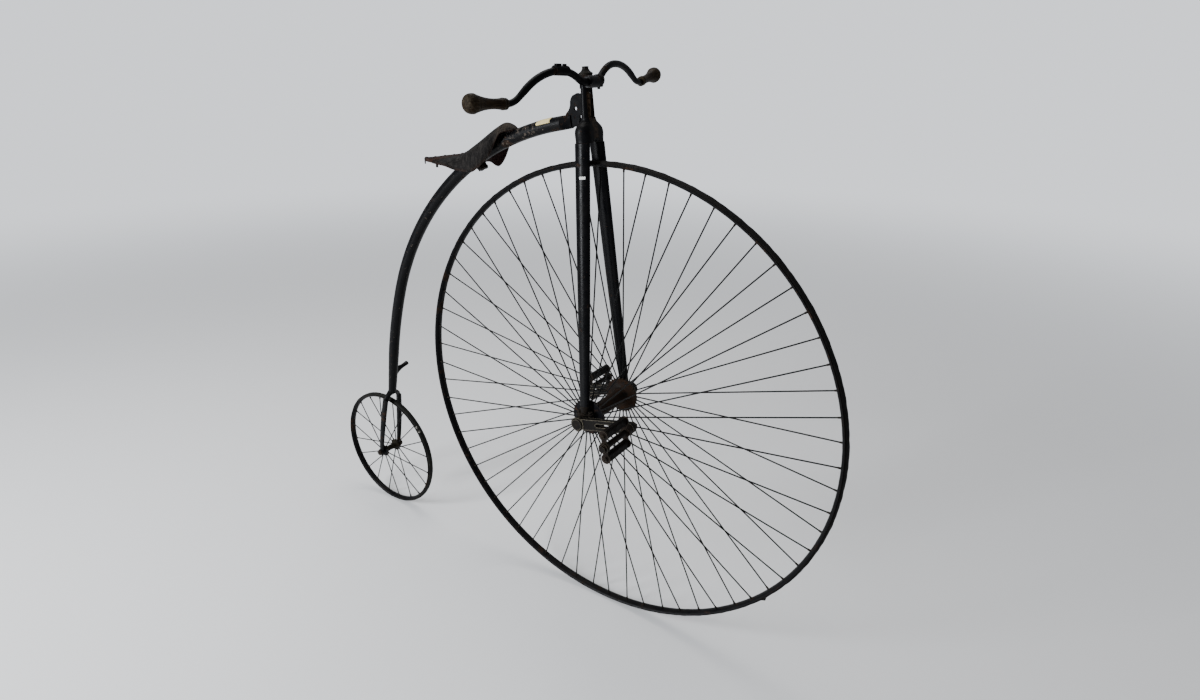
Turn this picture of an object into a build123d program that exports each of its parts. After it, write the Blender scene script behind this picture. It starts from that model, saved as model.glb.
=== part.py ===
from build123d import *
import os
from math import cos, radians, sin

# High-wheel bicycle: a large driven front wheel in a forked steering head,
# a curved tubular backbone, and a small trailing rear wheel.
# Millimetres. +X forward, +Y to the rider's left, +Z up.
# The origin is the seating point on top of the saddle.

os.makedirs("parts", exist_ok=True)

# ---------------------------------------------------------------- driving sizes
# Front wheel's centre, seen from the seating point
HUB_X = 443.0
HUB_Z = -649.5

# Front wheel
FRONT_SPOKES = 64
FRONT_SPOKE_START = 1.6        # degrees above the forward horizontal
FRONT_SPOKE_D = 3.6
FRONT_SPOKE_TIP_R = 635.3      # where a spoke ends in the rim
FRONT_TYRE_R = 642.7           # circle of the tyre's middle
FRONT_TYRE_HALF = (6.6, 11.0)  # half height and half width of the worn, flattened tyre
FRONT_FLANGE_D = 97.0
FRONT_FLANGE_Y = 81.0          # middle of a flange, from the wheel's plane
FRONT_FLANGE_T = 7.0
FRONT_BARREL_D = 40.0
FRONT_AXLE_D = 18.0
FRONT_AXLE_END_Y = 138.0

# Rear wheel, its centre seen from the front wheel's centre
REAR_DX = -945.6
REAR_DZ = -434.1
REAR_SPOKES = 20
REAR_SPOKE_START = -11.8
REAR_SPOKE_D = 3.4
REAR_SPOKE_TIP_R = 202.0
REAR_TYRE_R = 209.0
REAR_TYRE_HALF = (6.2, 9.0)
REAR_FLANGE_D = 41.0
REAR_FLANGE_Y = 26.0
REAR_FLANGE_T = 5.0
REAR_BARREL_D = 19.0
REAR_AXLE_D = 10.0
REAR_AXLE_END_Y = 53.0

RIM_WALL = 2.4                 # thickness of both crescent rims
TYRE_SEAT_GAP = 0.1            # between a tyre and its rim
SPOKE_INSET = 4.0              # from a flange's edge to the middle of its spokes
SPOKE_TIP_Y = 1.5              # a spoke's end, from the wheel's plane
RUN_FIT = 0.05                 # round a shaft that turns in its bore

# Steering head: the axis leans back and passes through the front wheel's centre
RAKE = 4.3
CROWN_BOTTOM_D = 690.0         # heights along the steering axis, from the wheel's centre
HEAD_SLOT_BOTTOM_D = 745.0
HEAD_SLOT_TOP_D = 808.0
HEAD_TOP_D = 842.0
HEAD_SLOT_WIDTH = 26.0         # across the open head, for the spindle and the neck
NECK_WEB_T = 6.0

# Fork legs
LEG_TOP_D = 690.0
LEG_FOOT_D = 36.0
LEG_FOOT_Y = 96.6
BEARING_Y = 100.5

# Handlebar
BAR_ROOT_D = 17.5              # the bar tapers from its middle to its ends
BAR_HUMP_D = 16.5
BAR_TIP_D = 14.4
BAR_HEIGHT_D = 826.0           # its middle, along the steering axis
BAR_SWEEP = 6.6                # each half swept back
BAR_FORWARD = 17.0             # the lug that holds it stands in front of the axis
BAR_ROLL = 4.3                 # the bar is bent down on the right and up on the left
FERRULE_L = 11.0
GRIP_L = 97.0

# Backbone: two tangent arcs and a tapered straight, running back and down from the neck
BACKBONE_D = 34.0
BACKBONE_END_D = 27.0
BACKBONE_START = (-131.4, 730.1)
BACKBONE_START_ANGLE = 9.1     # below the horizontal
BACKBONE_ARC_1 = (854.7, 59.8)   # radius, turn in degrees
BACKBONE_ARC_2 = (1542.0, 9.25)
REAR_CROWN_R = 247.0           # where the backbone ends, from the rear axle
REAR_BLADE_Y = 39.0

# Cranks and pedals
CRANK_THROW = 160.0
CRANK_ANGLE = 12.0             # right crank above the forward horizontal
CRANK_SLIP = 4.0               # the left crank has worked round on its key, off its true place
CRANK_Y = 128.0                # middle of a crank's thickness
CRANK_T = 13.0
CRANK_W = 29.0
CRANK_BOSS_D = 38.0
CRANK_BOSS_T = 15.0
PEDAL_TILT = 7.4               # from upright
PEDAL_PIN_D = 9.6
PEDAL_INNER_Y = 151.0
PEDAL_OUTER_Y = 246.0
PEDAL_PLATE_T = 4.0

# ---------------------------------------------------------------- shared planes
RAKE_COS = cos(radians(RAKE))
RAKE_SIN = sin(radians(RAKE))
HUB = Vector(HUB_X, 0, HUB_Z)
REAR = Vector(HUB_X + REAR_DX, 0, HUB_Z + REAR_DZ)

# looking from the right side of the machine: local x forward, local y up
SIDE = Plane(origin=HUB, x_dir=(1, 0, 0), z_dir=(0, -1, 0))
REAR_SIDE = Plane(origin=REAR, x_dir=(1, 0, 0), z_dir=(0, -1, 0))
# across the steering axis: local x forward, local y to the left, normal up the axis
STEER = Plane(origin=HUB, x_dir=(RAKE_COS, 0, RAKE_SIN), z_dir=(-RAKE_SIN, 0, RAKE_COS))
# along the steering axis: local x to the left, local y up the axis
FORK_FRONT = Plane(origin=HUB, x_dir=(0, 1, 0), z_dir=(RAKE_COS, 0, RAKE_SIN))
# along the steering axis, from the right side: local x forward, local y up the axis
FORK_SIDE = Plane(origin=HUB, x_dir=(RAKE_COS, 0, RAKE_SIN), z_dir=(0, -1, 0))

STEER_AXIS = Axis(HUB, STEER.z_dir)
FRONT_AXIS = Axis(HUB, (0, 1, 0))
REAR_AXIS = Axis(REAR, (0, 1, 0))


def half_section(centre):
    """Plane through a wheel's axle: local x away from the axle, local y to the left."""
    return Plane(origin=centre, x_dir=(1, 0, 0), z_dir=(0, 0, 1))


def spoke_planes(centre, count, start, flange_r, flange_y, tip_r):
    """Start planes of spokes that leave the right and left flanges in turn, and their length."""
    planes = []
    for k in range(count):
        angle = radians(start + 360.0 * k / count)
        side = 1 if k % 2 else -1
        out = Vector(cos(angle), 0, sin(angle))
        foot = centre + out * (flange_r - SPOKE_INSET) + Vector(0, side * flange_y, 0)
        tip = centre + out * tip_r + Vector(0, side * SPOKE_TIP_Y, 0)
        planes.append(Plane(origin=foot, z_dir=tip - foot))
    return planes, (tip - foot).length


# ================================================================ tyres and rims
# wheel: centre, axis, circle of the tyre's middle, half height and half width of the tyre
WHEELS = {
    "front": (HUB, FRONT_AXIS, FRONT_TYRE_R, FRONT_TYRE_HALF),
    "rear": (REAR, REAR_AXIS, REAR_TYRE_R, REAR_TYRE_HALF),
}
tyres = {}
rims = {}
for name, (centre, axis, tyre_r, (half_height, half_width)) in WHEELS.items():
    # solid rubber, round on top and seated in the rim
    with BuildPart() as tyre:
        with BuildSketch(half_section(centre)):
            with Locations((tyre_r, 0)):
                Ellipse(half_height, half_width)
        revolve(axis=axis)
    tyres[name] = tyre

    # crescent of rolled iron that covers the tyre's inner half
    with BuildPart() as rim:
        with BuildSketch(half_section(centre)):
            with Locations((tyre_r, 0)):
                wall = TYRE_SEAT_GAP + RIM_WALL
                Ellipse(half_height + wall, half_width + wall)
                Ellipse(half_height + TYRE_SEAT_GAP, half_width + TYRE_SEAT_GAP, mode=Mode.SUBTRACT)
            with Locations((tyre_r + half_width + 2, 0)):
                Rectangle(2 * half_width + 5, 4 * half_width, mode=Mode.SUBTRACT)
        revolve(axis=axis)
    rims[name] = rim

# ================================================================ front wheel
with BuildPart() as front_spokes:
    planes, length = spoke_planes(
        HUB, FRONT_SPOKES, FRONT_SPOKE_START, FRONT_FLANGE_D / 2, FRONT_FLANGE_Y, FRONT_SPOKE_TIP_R)
    with BuildSketch(*planes):
        Circle(FRONT_SPOKE_D / 2)
    extrude(amount=length)

# The barrel and its two dished flanges are one turned piece, keyed on the axle
with BuildPart() as front_hub:
    with BuildSketch(half_section(HUB)):
        with BuildLine():
            axle_r = FRONT_AXLE_D / 2
            barrel_r = FRONT_BARREL_D / 2
            flange_r = FRONT_FLANGE_D / 2
            inner_y = FRONT_FLANGE_Y - FRONT_FLANGE_T / 2
            outer_y = FRONT_FLANGE_Y + FRONT_FLANGE_T / 2
            Polyline(
                (axle_r, 0), (barrel_r, 0), (barrel_r, inner_y - 14),
                (barrel_r + 5, inner_y - 5), (flange_r - 12, inner_y),
                (flange_r, inner_y + 1), (flange_r, outer_y - 1),
                (flange_r - 14, outer_y + 1), (axle_r, outer_y + 1), (axle_r, 0))
        make_face()
        mirror(about=Plane.XZ)
    revolve(axis=FRONT_AXIS)

with BuildPart() as front_axle:
    with BuildSketch(SIDE.offset(-FRONT_AXLE_END_Y)):
        Circle(FRONT_AXLE_D / 2)
    extrude(amount=2 * FRONT_AXLE_END_Y)

# ================================================================ cranks and pedals
CRANK_SLOT_L = 110.0           # from just outside the boss to just past the pin
CRANK_SLOT_W = 9.8
CRANK_SLOT_AT = 111.0
PEDAL_TUBE_D = 15.0
PEDAL_BLOCK_AT = 29.5          # a block's middle, from the pin
PEDAL_BLOCK_SIZE = (22.0, 16.0)
PEDAL_PLATE_END_D = 24.6       # a plate is three discs on a narrower bar
PEDAL_PLATE_MIDDLE_D = 27.0
PEDAL_PLATE_BAR_W = 13.0
PEDAL_CAP_D = 25.0

CRANK_SIDES = {"right": (-1, CRANK_ANGLE), "left": (1, CRANK_ANGLE + CRANK_SLIP + 180.0)}
cranks = {}
pins = {}
cages = {}
blocks = {}
for name, (side, angle) in CRANK_SIDES.items():
    away = Vector(0, side, 0)
    along = Vector(cos(radians(angle)), 0, sin(radians(angle)))
    crank_inner_y = CRANK_Y - CRANK_T / 2
    crank_outer_y = CRANK_Y + CRANK_T / 2
    # local x runs out along the crank, the normal points away from the wheel
    crank_plane = Plane(origin=HUB + away * crank_inner_y, x_dir=along, z_dir=away)
    pin_centre = HUB + along * CRANK_THROW
    pedal_plane = Plane(
        origin=pin_centre, x_dir=(-sin(radians(PEDAL_TILT)), 0, cos(radians(PEDAL_TILT))), z_dir=away)

    # a boss on the axle, and a slotted arm in which the pin can be set nearer or further
    with BuildPart() as crank:
        with BuildSketch(crank_plane):
            half_w = CRANK_W / 2
            arm_end = CRANK_THROW + half_w - 2
            with BuildLine():
                Polyline((0, half_w), (0, -half_w), (arm_end - half_w, -half_w))
                ThreePointArc((arm_end - half_w, -half_w), (arm_end, 0), (arm_end - half_w, half_w))
                Line((arm_end - half_w, half_w), (0, half_w))
            make_face()
            with Locations((CRANK_SLOT_AT, 0)):
                SlotOverall(CRANK_SLOT_L, CRANK_SLOT_W, mode=Mode.SUBTRACT)
        extrude(amount=CRANK_T)
        with BuildSketch(crank_plane):
            Circle(CRANK_BOSS_D / 2)
        extrude(amount=CRANK_BOSS_T)
        with BuildSketch(crank_plane):
            Circle(FRONT_AXLE_D / 2)
        extrude(amount=CRANK_BOSS_T, mode=Mode.SUBTRACT)
    cranks[name] = crank

    # hexagon nut behind the slot, shoulder in front of it, and the pin itself
    with BuildPart() as pin:
        with BuildSketch(pedal_plane.offset(crank_inner_y - 9)):
            RegularPolygon(radius=11, side_count=6)
        extrude(amount=8.5)
        with BuildSketch(pedal_plane.offset(crank_outer_y + 0.3)):
            Circle(11)
        extrude(amount=PEDAL_INNER_Y - crank_outer_y - 0.8)
        with BuildSketch(pedal_plane.offset(crank_inner_y - 1)):
            Circle(PEDAL_PIN_D / 2)
        extrude(amount=PEDAL_OUTER_Y - crank_inner_y + 1)
    pins[name] = pin

    # two end plates on a centre tube, with a dust cap and its nut on the outer end
    with BuildPart() as cage:
        for plate_y in (PEDAL_INNER_Y, PEDAL_OUTER_Y - PEDAL_PLATE_T):
            with BuildSketch(pedal_plane.offset(plate_y)):
                with Locations((-PEDAL_BLOCK_AT, 0), (PEDAL_BLOCK_AT, 0)):
                    Circle(PEDAL_PLATE_END_D / 2)
                Circle(PEDAL_PLATE_MIDDLE_D / 2)
                Rectangle(2 * PEDAL_BLOCK_AT, PEDAL_PLATE_BAR_W)
            extrude(amount=PEDAL_PLATE_T)
        with BuildSketch(pedal_plane.offset(PEDAL_INNER_Y)):
            Circle(PEDAL_TUBE_D / 2)
        extrude(amount=PEDAL_OUTER_Y - PEDAL_INNER_Y)
        with BuildSketch(pedal_plane.offset(PEDAL_OUTER_Y)):
            Circle(PEDAL_CAP_D / 2)
        extrude(amount=6)
        with BuildSketch(pedal_plane.offset(PEDAL_OUTER_Y + 6)):
            RegularPolygon(radius=9, side_count=6)
        extrude(amount=6)
        with BuildSketch(pedal_plane.offset(PEDAL_INNER_Y)):
            Circle(PEDAL_PIN_D / 2 + RUN_FIT)
        extrude(amount=PEDAL_OUTER_Y - PEDAL_INNER_Y + 1, mode=Mode.SUBTRACT)
    cages[name] = cage

    with BuildPart() as block:
        with BuildSketch(pedal_plane.offset(PEDAL_INNER_Y + PEDAL_PLATE_T)):
            with Locations((-PEDAL_BLOCK_AT, 0), (PEDAL_BLOCK_AT, 0)):
                RectangleRounded(*PEDAL_BLOCK_SIZE, 5)
        extrude(amount=PEDAL_OUTER_Y - PEDAL_INNER_Y - 2 * PEDAL_PLATE_T)
    blocks[name] = block

# ================================================================ fork legs and bearings
# station: height along the axis, offset, fore-and-aft width, thickness
LEG_STATIONS = (
    (LEG_TOP_D, 31.0, 41.0, 24.0),
    (370.0, 63.0, 37.0, 21.5),
    (LEG_FOOT_D, LEG_FOOT_Y, 28.0, 17.0),
)
BEARING_CASE_D = 40.0
BEARING_CASE_W = 24.0
legs = {}
bearings = {}
for name, side in (("right", -1), ("left", 1)):
    with BuildPart() as leg:
        for height, offset_y, width, thick in LEG_STATIONS:
            with BuildSketch(STEER.offset(height)):
                with Locations((0, side * offset_y)):
                    Ellipse(width / 2, thick / 2)
        loft()
    legs[name] = leg

    # ball bearing case: an eye on the axle, a flange with two bolts and the stub for the leg
    with BuildPart() as bearing:
        with BuildSketch(SIDE.offset(-side * BEARING_Y - BEARING_CASE_W / 2)):
            Circle(BEARING_CASE_D / 2)
        extrude(amount=BEARING_CASE_W)
        with BuildSketch(STEER.offset(8)):
            with Locations((0, side * (BEARING_Y - 1.5))):
                RectangleRounded(48, 18, 6)
        extrude(amount=9)
        with BuildSketch(STEER.offset(17)):
            with Locations((-17.5, side * (BEARING_Y - 1.5)), (17.5, side * (BEARING_Y - 1.5))):
                RegularPolygon(radius=6, side_count=6)
        extrude(amount=6)
        with BuildSketch(STEER.offset(10)):
            with Locations((0, side * (BEARING_Y - 2.5))):
                Ellipse(13, 9)
        extrude(amount=LEG_FOOT_D - 10)
        with BuildSketch(SIDE.offset(-side * BEARING_Y - 14)):
            Circle(FRONT_AXLE_D / 2 + RUN_FIT)
        extrude(amount=28, mode=Mode.SUBTRACT)
    bearings[name] = bearing

# ================================================================ handlebar
bar_centre = STEER.from_local_coords((BAR_FORWARD, 0, BAR_HEIGHT_D))
roll = radians(BAR_ROLL)
sweep_back = radians(BAR_SWEEP)
bars = {}
humps = {}
grips = {}
ferrules = {}
for name, side in (("right", -1), ("left", 1)):
    out = Vector(
        -sin(sweep_back), side * cos(sweep_back) * cos(roll), side * cos(sweep_back) * sin(roll))
    up = Vector(0, -sin(roll), cos(roll))
    bar_plane = Plane(origin=bar_centre, x_dir=out, z_dir=out.cross(up))
    # a half: up from the lug, over a hump that falls away more slowly than it rose,
    # and level again into the handle
    with BuildPart() as bar:
        with BuildLine(bar_plane):
            root = Line((0, 0), (20, 0))
            rise = JernArc(start=root @ 1, tangent=root % 1, radius=40, arc_size=33)
            slope_up = Line(rise @ 1, rise @ 1 + (rise % 1) * 10)
            hump = JernArc(start=slope_up @ 1, tangent=slope_up % 1, radius=118, arc_size=-33)
            shoulder = JernArc(start=hump @ 1, tangent=hump % 1, radius=183, arc_size=-33)
            slope_down = Line(shoulder @ 1, shoulder @ 1 + (shoulder % 1) * 26)
            dip = JernArc(start=slope_down @ 1, tangent=slope_down % 1, radius=60, arc_size=39)
            tail = Line(dip @ 1, dip @ 1 + (dip % 1) * 60)
        # stretch of the bar, diameter at its start and at its end
        for stretch, start_d, end_d in (
                (root, BAR_ROOT_D, BAR_ROOT_D), (rise, BAR_ROOT_D, BAR_ROOT_D),
                (slope_up, BAR_ROOT_D, BAR_HUMP_D), (hump, BAR_HUMP_D, BAR_HUMP_D),
                (shoulder, BAR_HUMP_D, BAR_HUMP_D), (slope_down, BAR_HUMP_D, BAR_TIP_D),
                (dip, BAR_TIP_D, BAR_TIP_D), (tail, BAR_TIP_D, BAR_TIP_D)):
            with BuildSketch(Plane(origin=stretch @ 0, z_dir=stretch % 0)):
                Circle(start_d / 2)
            if start_d == end_d:
                sweep(path=stretch)
            else:
                with BuildSketch(Plane(origin=stretch @ 1, z_dir=stretch % 1)):
                    Circle(end_d / 2)
                loft()
    bars[name] = bar
    humps[name] = hump
    tail_dir = tail % 1

    # two brass rings in one, between the bar and the handle
    with BuildPart() as ferrule:
        with BuildSketch(Plane(origin=dip @ 1, z_dir=tail_dir)):
            Circle(12)
        extrude(amount=4)
        with BuildSketch(Plane(origin=dip @ 1 + tail_dir * 4, z_dir=tail_dir)):
            Circle(10.5)
        extrude(amount=3)
        with BuildSketch(Plane(origin=dip @ 1 + tail_dir * 7, z_dir=tail_dir)):
            Circle(12.5)
        extrude(amount=FERRULE_L - 7)
        add(bar.part, mode=Mode.SUBTRACT)
    ferrules[name] = ferrule

    # pear-shaped wooden handle, turned about the bar's tail
    handle_start = dip @ 1 + tail_dir * FERRULE_L
    handle_profile = Plane(
        origin=handle_start, x_dir=bar_plane.z_dir, z_dir=bar_plane.z_dir.cross(tail_dir))
    with BuildPart() as grip:
        with BuildSketch(handle_profile):
            with BuildLine():
                waist = Spline((12, 0), (11, 34), (20, 76))
                Spline(waist @ 1, (16.5, 91), (0, GRIP_L), tangents=((0, 1), (-1, 0)))
                Polyline((0, GRIP_L), (0, 0), (12, 0))
            make_face()
        revolve(axis=Axis(handle_start, tail_dir))
        add(bar.part, mode=Mode.SUBTRACT)
    grips[name] = grip

with BuildPart() as handlebar:
    add(bars["right"].part)
    add(bars["left"].part)

# sleeve that is clamped round the right half's hump, with the lug that a lamp once hung from
BAR_CLIP_L = 42.0
BAR_CLIP_D = 21.5
BAR_CLIP_AT = 0.84             # share of the way up the hump
with BuildPart() as bar_clip:
    hump = humps["right"]
    clip_dir = hump % BAR_CLIP_AT
    clip_up = clip_dir.cross(Vector(1, 0, 0)).normalized()
    clip_start = hump @ BAR_CLIP_AT - clip_dir * (BAR_CLIP_L / 2)
    with BuildSketch(Plane(origin=clip_start, z_dir=clip_dir)):
        Circle(BAR_CLIP_D / 2)
    extrude(amount=BAR_CLIP_L)
    lug_centre = hump @ BAR_CLIP_AT + clip_up * (BAR_CLIP_D / 2 - 3)
    with BuildSketch(Plane(origin=lug_centre, x_dir=clip_dir, z_dir=clip_up)):
        with Locations((9, 0)):
            RectangleRounded(15, 13, 4)
        with Locations((-12, 0)):
            Circle(5)
    extrude(amount=6.5)
    add(bars["right"].part, mode=Mode.SUBTRACT)

# ================================================================ crown and head
SPINDLE_TIP_D = (738.5, 811.0)   # bottom and top cones' ends, along the axis
CONE_R = 7.5
CUP_R = 5.4
# Crown and open head in one forging: two cheeks with a slot through from front to back
with BuildPart() as fork_head:
    # station: height, width across, depth fore and aft, radius of the corners
    for height, width, depth, corner in (
            (CROWN_BOTTOM_D, 88.0, 42.4, 20.5), (714.0, 87.0, 42.2, 20.2),
            (729.0, 72.0, 36.0, 17.2), (737.0, 51.5, 29.6, 14.2), (747.0, 43.0, 26.6, 12.8)):
        with BuildSketch(STEER.offset(height)):
            RectangleRounded(depth, width, corner)
    loft()
    for height, half_y, half_x in ((747.0, 21.3, 13.0), (HEAD_TOP_D - 6, 17.0, 11.0)):
        with BuildSketch(STEER.offset(height)):
            Ellipse(half_x, half_y)
    loft()
    with BuildSketch(STEER.offset(HEAD_SLOT_TOP_D + 4)):
        Circle(16)
    extrude(amount=HEAD_TOP_D - HEAD_SLOT_TOP_D - 4)
    # lug in front that holds the handlebar
    with BuildSketch(FORK_SIDE.offset(-17)):
        with Locations((BAR_FORWARD, BAR_HEIGHT_D)):
            Circle(14)
    extrude(amount=34)
    add(handlebar.part, mode=Mode.SUBTRACT)
    with BuildSketch(FORK_FRONT.offset(-40)):
        with Locations((0, (HEAD_SLOT_BOTTOM_D + HEAD_SLOT_TOP_D) / 2)):
            RectangleRounded(HEAD_SLOT_WIDTH, HEAD_SLOT_TOP_D - HEAD_SLOT_BOTTOM_D, 5)
    extrude(amount=60, mode=Mode.SUBTRACT)
    # arch over the tyre
    with BuildSketch(FORK_FRONT.offset(-40)):
        with Locations((0, CROWN_BOTTOM_D - 8)):
            Circle(19)
    extrude(amount=80, mode=Mode.SUBTRACT)
    # cup for the spindle's lower cone, and the adjuster's threaded hole
    with BuildSketch(FORK_SIDE):
        with BuildLine():
            Polyline((0, 738.1), (1.3, 738.1), (CUP_R, 745.2), (CUP_R, 748), (0, 748), (0, 738.1))
        make_face()
    revolve(axis=STEER_AXIS, mode=Mode.SUBTRACT)
    with BuildSketch(STEER.offset(HEAD_SLOT_TOP_D - 6)):
        Circle(6)
    extrude(amount=50, mode=Mode.SUBTRACT)

# adjusting screw with a cup for the spindle's upper cone, its domed cap and lock nut
with BuildPart() as head_adjuster:
    with BuildSketch(STEER.offset(HEAD_SLOT_TOP_D - 4)):
        Circle(6)
    extrude(amount=HEAD_TOP_D + 8 - HEAD_SLOT_TOP_D + 4)
    with BuildSketch(FORK_SIDE):
        with BuildLine():
            Polyline((0, HEAD_TOP_D), (17, HEAD_TOP_D), (17, HEAD_TOP_D + 3), (15, HEAD_TOP_D + 5))
            ThreePointArc((15, HEAD_TOP_D + 5), (10.8, HEAD_TOP_D + 8), (8.5, HEAD_TOP_D + 12))
            Polyline((8.5, HEAD_TOP_D + 12), (0, HEAD_TOP_D + 12), (0, HEAD_TOP_D))
        make_face()
    revolve(axis=STEER_AXIS)
    with BuildSketch(STEER.offset(HEAD_TOP_D + 12)):
        RegularPolygon(radius=8.5, side_count=6)
    extrude(amount=6)
    with BuildSketch(FORK_SIDE):
        with BuildLine():
            Polyline((0, 803), (CUP_R, 803), (CUP_R, 804.3), (1.3, 811.4), (0, 811.4), (0, 803))
        make_face()
    revolve(axis=STEER_AXIS, mode=Mode.SUBTRACT)

# bracket that held the brake lever: a ring on the bar's left root, with an ear and a set screw
with BuildPart() as brake_lug:
    with BuildSketch(FORK_SIDE.offset(-36)):
        with Locations((BAR_FORWARD - 1, BAR_HEIGHT_D + 3)):
            Circle(13)
        with Locations((BAR_FORWARD - 1, BAR_HEIGHT_D - 5)):
            RectangleRounded(16, 15, 4)
    extrude(amount=17)
    with BuildSketch(STEER.offset(BAR_HEIGHT_D - 17)):
        with Locations((BAR_FORWARD - 1, 28)):
            Circle(3.5)
    extrude(amount=10)
    add(bars["left"].part, mode=Mode.SUBTRACT)

# ================================================================ backbone and neck
with BuildPart() as backbone:
    start_angle = radians(BACKBONE_START_ANGLE)
    with BuildLine(SIDE):
        upper = JernArc(
            start=BACKBONE_START, tangent=(-cos(start_angle), -sin(start_angle)),
            radius=BACKBONE_ARC_1[0], arc_size=BACKBONE_ARC_1[1])
        lower = JernArc(
            start=upper @ 1, tangent=upper % 1, radius=BACKBONE_ARC_2[0], arc_size=BACKBONE_ARC_2[1])
    with BuildSketch(Plane(origin=upper @ 0, z_dir=upper % 0)):
        Circle(BACKBONE_D / 2)
    sweep()
    down_dir = lower % 1
    taper_length = (REAR - lower @ 1).length - REAR_CROWN_R
    with BuildSketch(Plane(origin=lower @ 1, z_dir=down_dir)):
        Circle(BACKBONE_D / 2)
    with BuildSketch(Plane(origin=lower @ 1 + down_dir * taper_length, z_dir=down_dir)):
        Circle(BACKBONE_END_D / 2)
    loft()

# Flat web behind the head, drawn from the side; it ends in the pointed steering spindle
neck_dir = upper % 0 * -1
with BuildPart() as neck:
    with BuildSketch(Plane(origin=upper @ 0, x_dir=(0, 1, 0), z_dir=neck_dir)):
        Circle(BACKBONE_D / 2)
    with BuildSketch(Plane(origin=upper @ 0 + neck_dir * 28, x_dir=(0, 1, 0), z_dir=neck_dir)):
        RectangleRounded(14, 32, 6)
    loft()
    with BuildSketch(FORK_SIDE.offset(-NECK_WEB_T / 2)):
        with BuildLine():
            Polyline(
                (-40, 799), (-27, 803.5), (0, 799), (0, 753), (-23, 753), (-23, 747), (-26, 736), (-38, 728),
                (-64, 723), (-68, 750), (-62, 760))
            ThreePointArc((-62, 760), (-53, 769), (-49, 783))
            ThreePointArc((-49, 783), (-46, 792), (-40, 799))
        make_face()
        with Locations((-34, 769)):
            Circle(4.5, mode=Mode.SUBTRACT)
    extrude(amount=NECK_WEB_T)
    with BuildSketch(FORK_SIDE):
        with BuildLine():
            Polyline(
                (0, SPINDLE_TIP_D[0]), (1, SPINDLE_TIP_D[0]), (CONE_R, 750), (CONE_R, 799.5),
                (1, SPINDLE_TIP_D[1]), (0, SPINDLE_TIP_D[1]), (0, SPINDLE_TIP_D[0]))
        make_face()
    revolve(axis=STEER_AXIS)

# ================================================================ rear fork
with BuildPart() as rear_fork:
    # local x to the left, normal up the fork from the rear axle
    up_fork = down_dir * -1
    fork_plane = Plane(origin=REAR, x_dir=(0, 1, 0), z_dir=up_fork)
    # crown, from the round tube to two shoulders
    for height, half_y, half_x in (
            (REAR_CROWN_R, BACKBONE_END_D / 2 + 1, BACKBONE_END_D / 2 + 1),
            (REAR_CROWN_R - 12, 30, 12), (REAR_CROWN_R - 26, 35, 10)):
        with BuildSketch(fork_plane.offset(height)):
            Ellipse(half_y, half_x)
    loft()
    with BuildSketch(Plane(origin=REAR, x_dir=(0, 1, 0), z_dir=fork_plane.y_dir * -1).offset(-20)):
        with Locations((0, REAR_CROWN_R - 25)):
            Circle(22)
    extrude(amount=40, mode=Mode.SUBTRACT)
    for side in (-1, 1):
        # station: height above the axle, offset, half thickness, half width
        for height, offset_y, half_t, half_w in (
                (REAR_CROWN_R - 24, 29, 7, 11.5), (30, REAR_BLADE_Y, 5, 9.5), (0, REAR_BLADE_Y, 4, 8.8)):
            with BuildSketch(fork_plane.offset(height)):
                with Locations((side * offset_y, 0)):
                    Ellipse(half_t, half_w)
        loft()
        with BuildSketch(REAR_SIDE.offset(-side * REAR_BLADE_Y - 4)):
            Circle(12)
        extrude(amount=8)
    with BuildSketch(REAR_SIDE.offset(-60)):
        Circle(REAR_AXLE_D / 2)
    extrude(amount=120, mode=Mode.SUBTRACT)

REAR_NUT_T = 6.8
with BuildPart() as rear_axle:
    with BuildSketch(REAR_SIDE.offset(-REAR_AXLE_END_Y)):
        Circle(REAR_AXLE_D / 2)
    extrude(amount=2 * REAR_AXLE_END_Y)
    nut_start = REAR_BLADE_Y + 4.6
    for nut_y in (-nut_start - REAR_NUT_T, nut_start):
        with BuildSketch(REAR_SIDE.offset(nut_y)):
            RegularPolygon(radius=10, side_count=6)
        extrude(amount=REAR_NUT_T)

# ================================================================ rear wheel
with BuildPart() as rear_spokes:
    planes, length = spoke_planes(
        REAR, REAR_SPOKES, REAR_SPOKE_START, REAR_FLANGE_D / 2, REAR_FLANGE_Y, REAR_SPOKE_TIP_R)
    with BuildSketch(*planes):
        Circle(REAR_SPOKE_D / 2)
    extrude(amount=length)

with BuildPart() as rear_hub:
    with BuildSketch(half_section(REAR)):
        with BuildLine():
            bore_r = REAR_AXLE_D / 2 + RUN_FIT
            flange_r = REAR_FLANGE_D / 2
            inner_y = REAR_FLANGE_Y - REAR_FLANGE_T / 2
            outer_y = REAR_FLANGE_Y + REAR_FLANGE_T / 2
            Polyline(
                (bore_r, 0), (REAR_BARREL_D / 2, 0), (REAR_BARREL_D / 2, inner_y - 5),
                (flange_r - 6, inner_y), (flange_r, inner_y + 0.5), (flange_r, outer_y - 0.5),
                (flange_r - 8, outer_y + 3), (bore_r, outer_y + 3), (bore_r, 0))
        make_face()
        mirror(about=Plane.XZ)
    revolve(axis=REAR_AXIS)

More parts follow.
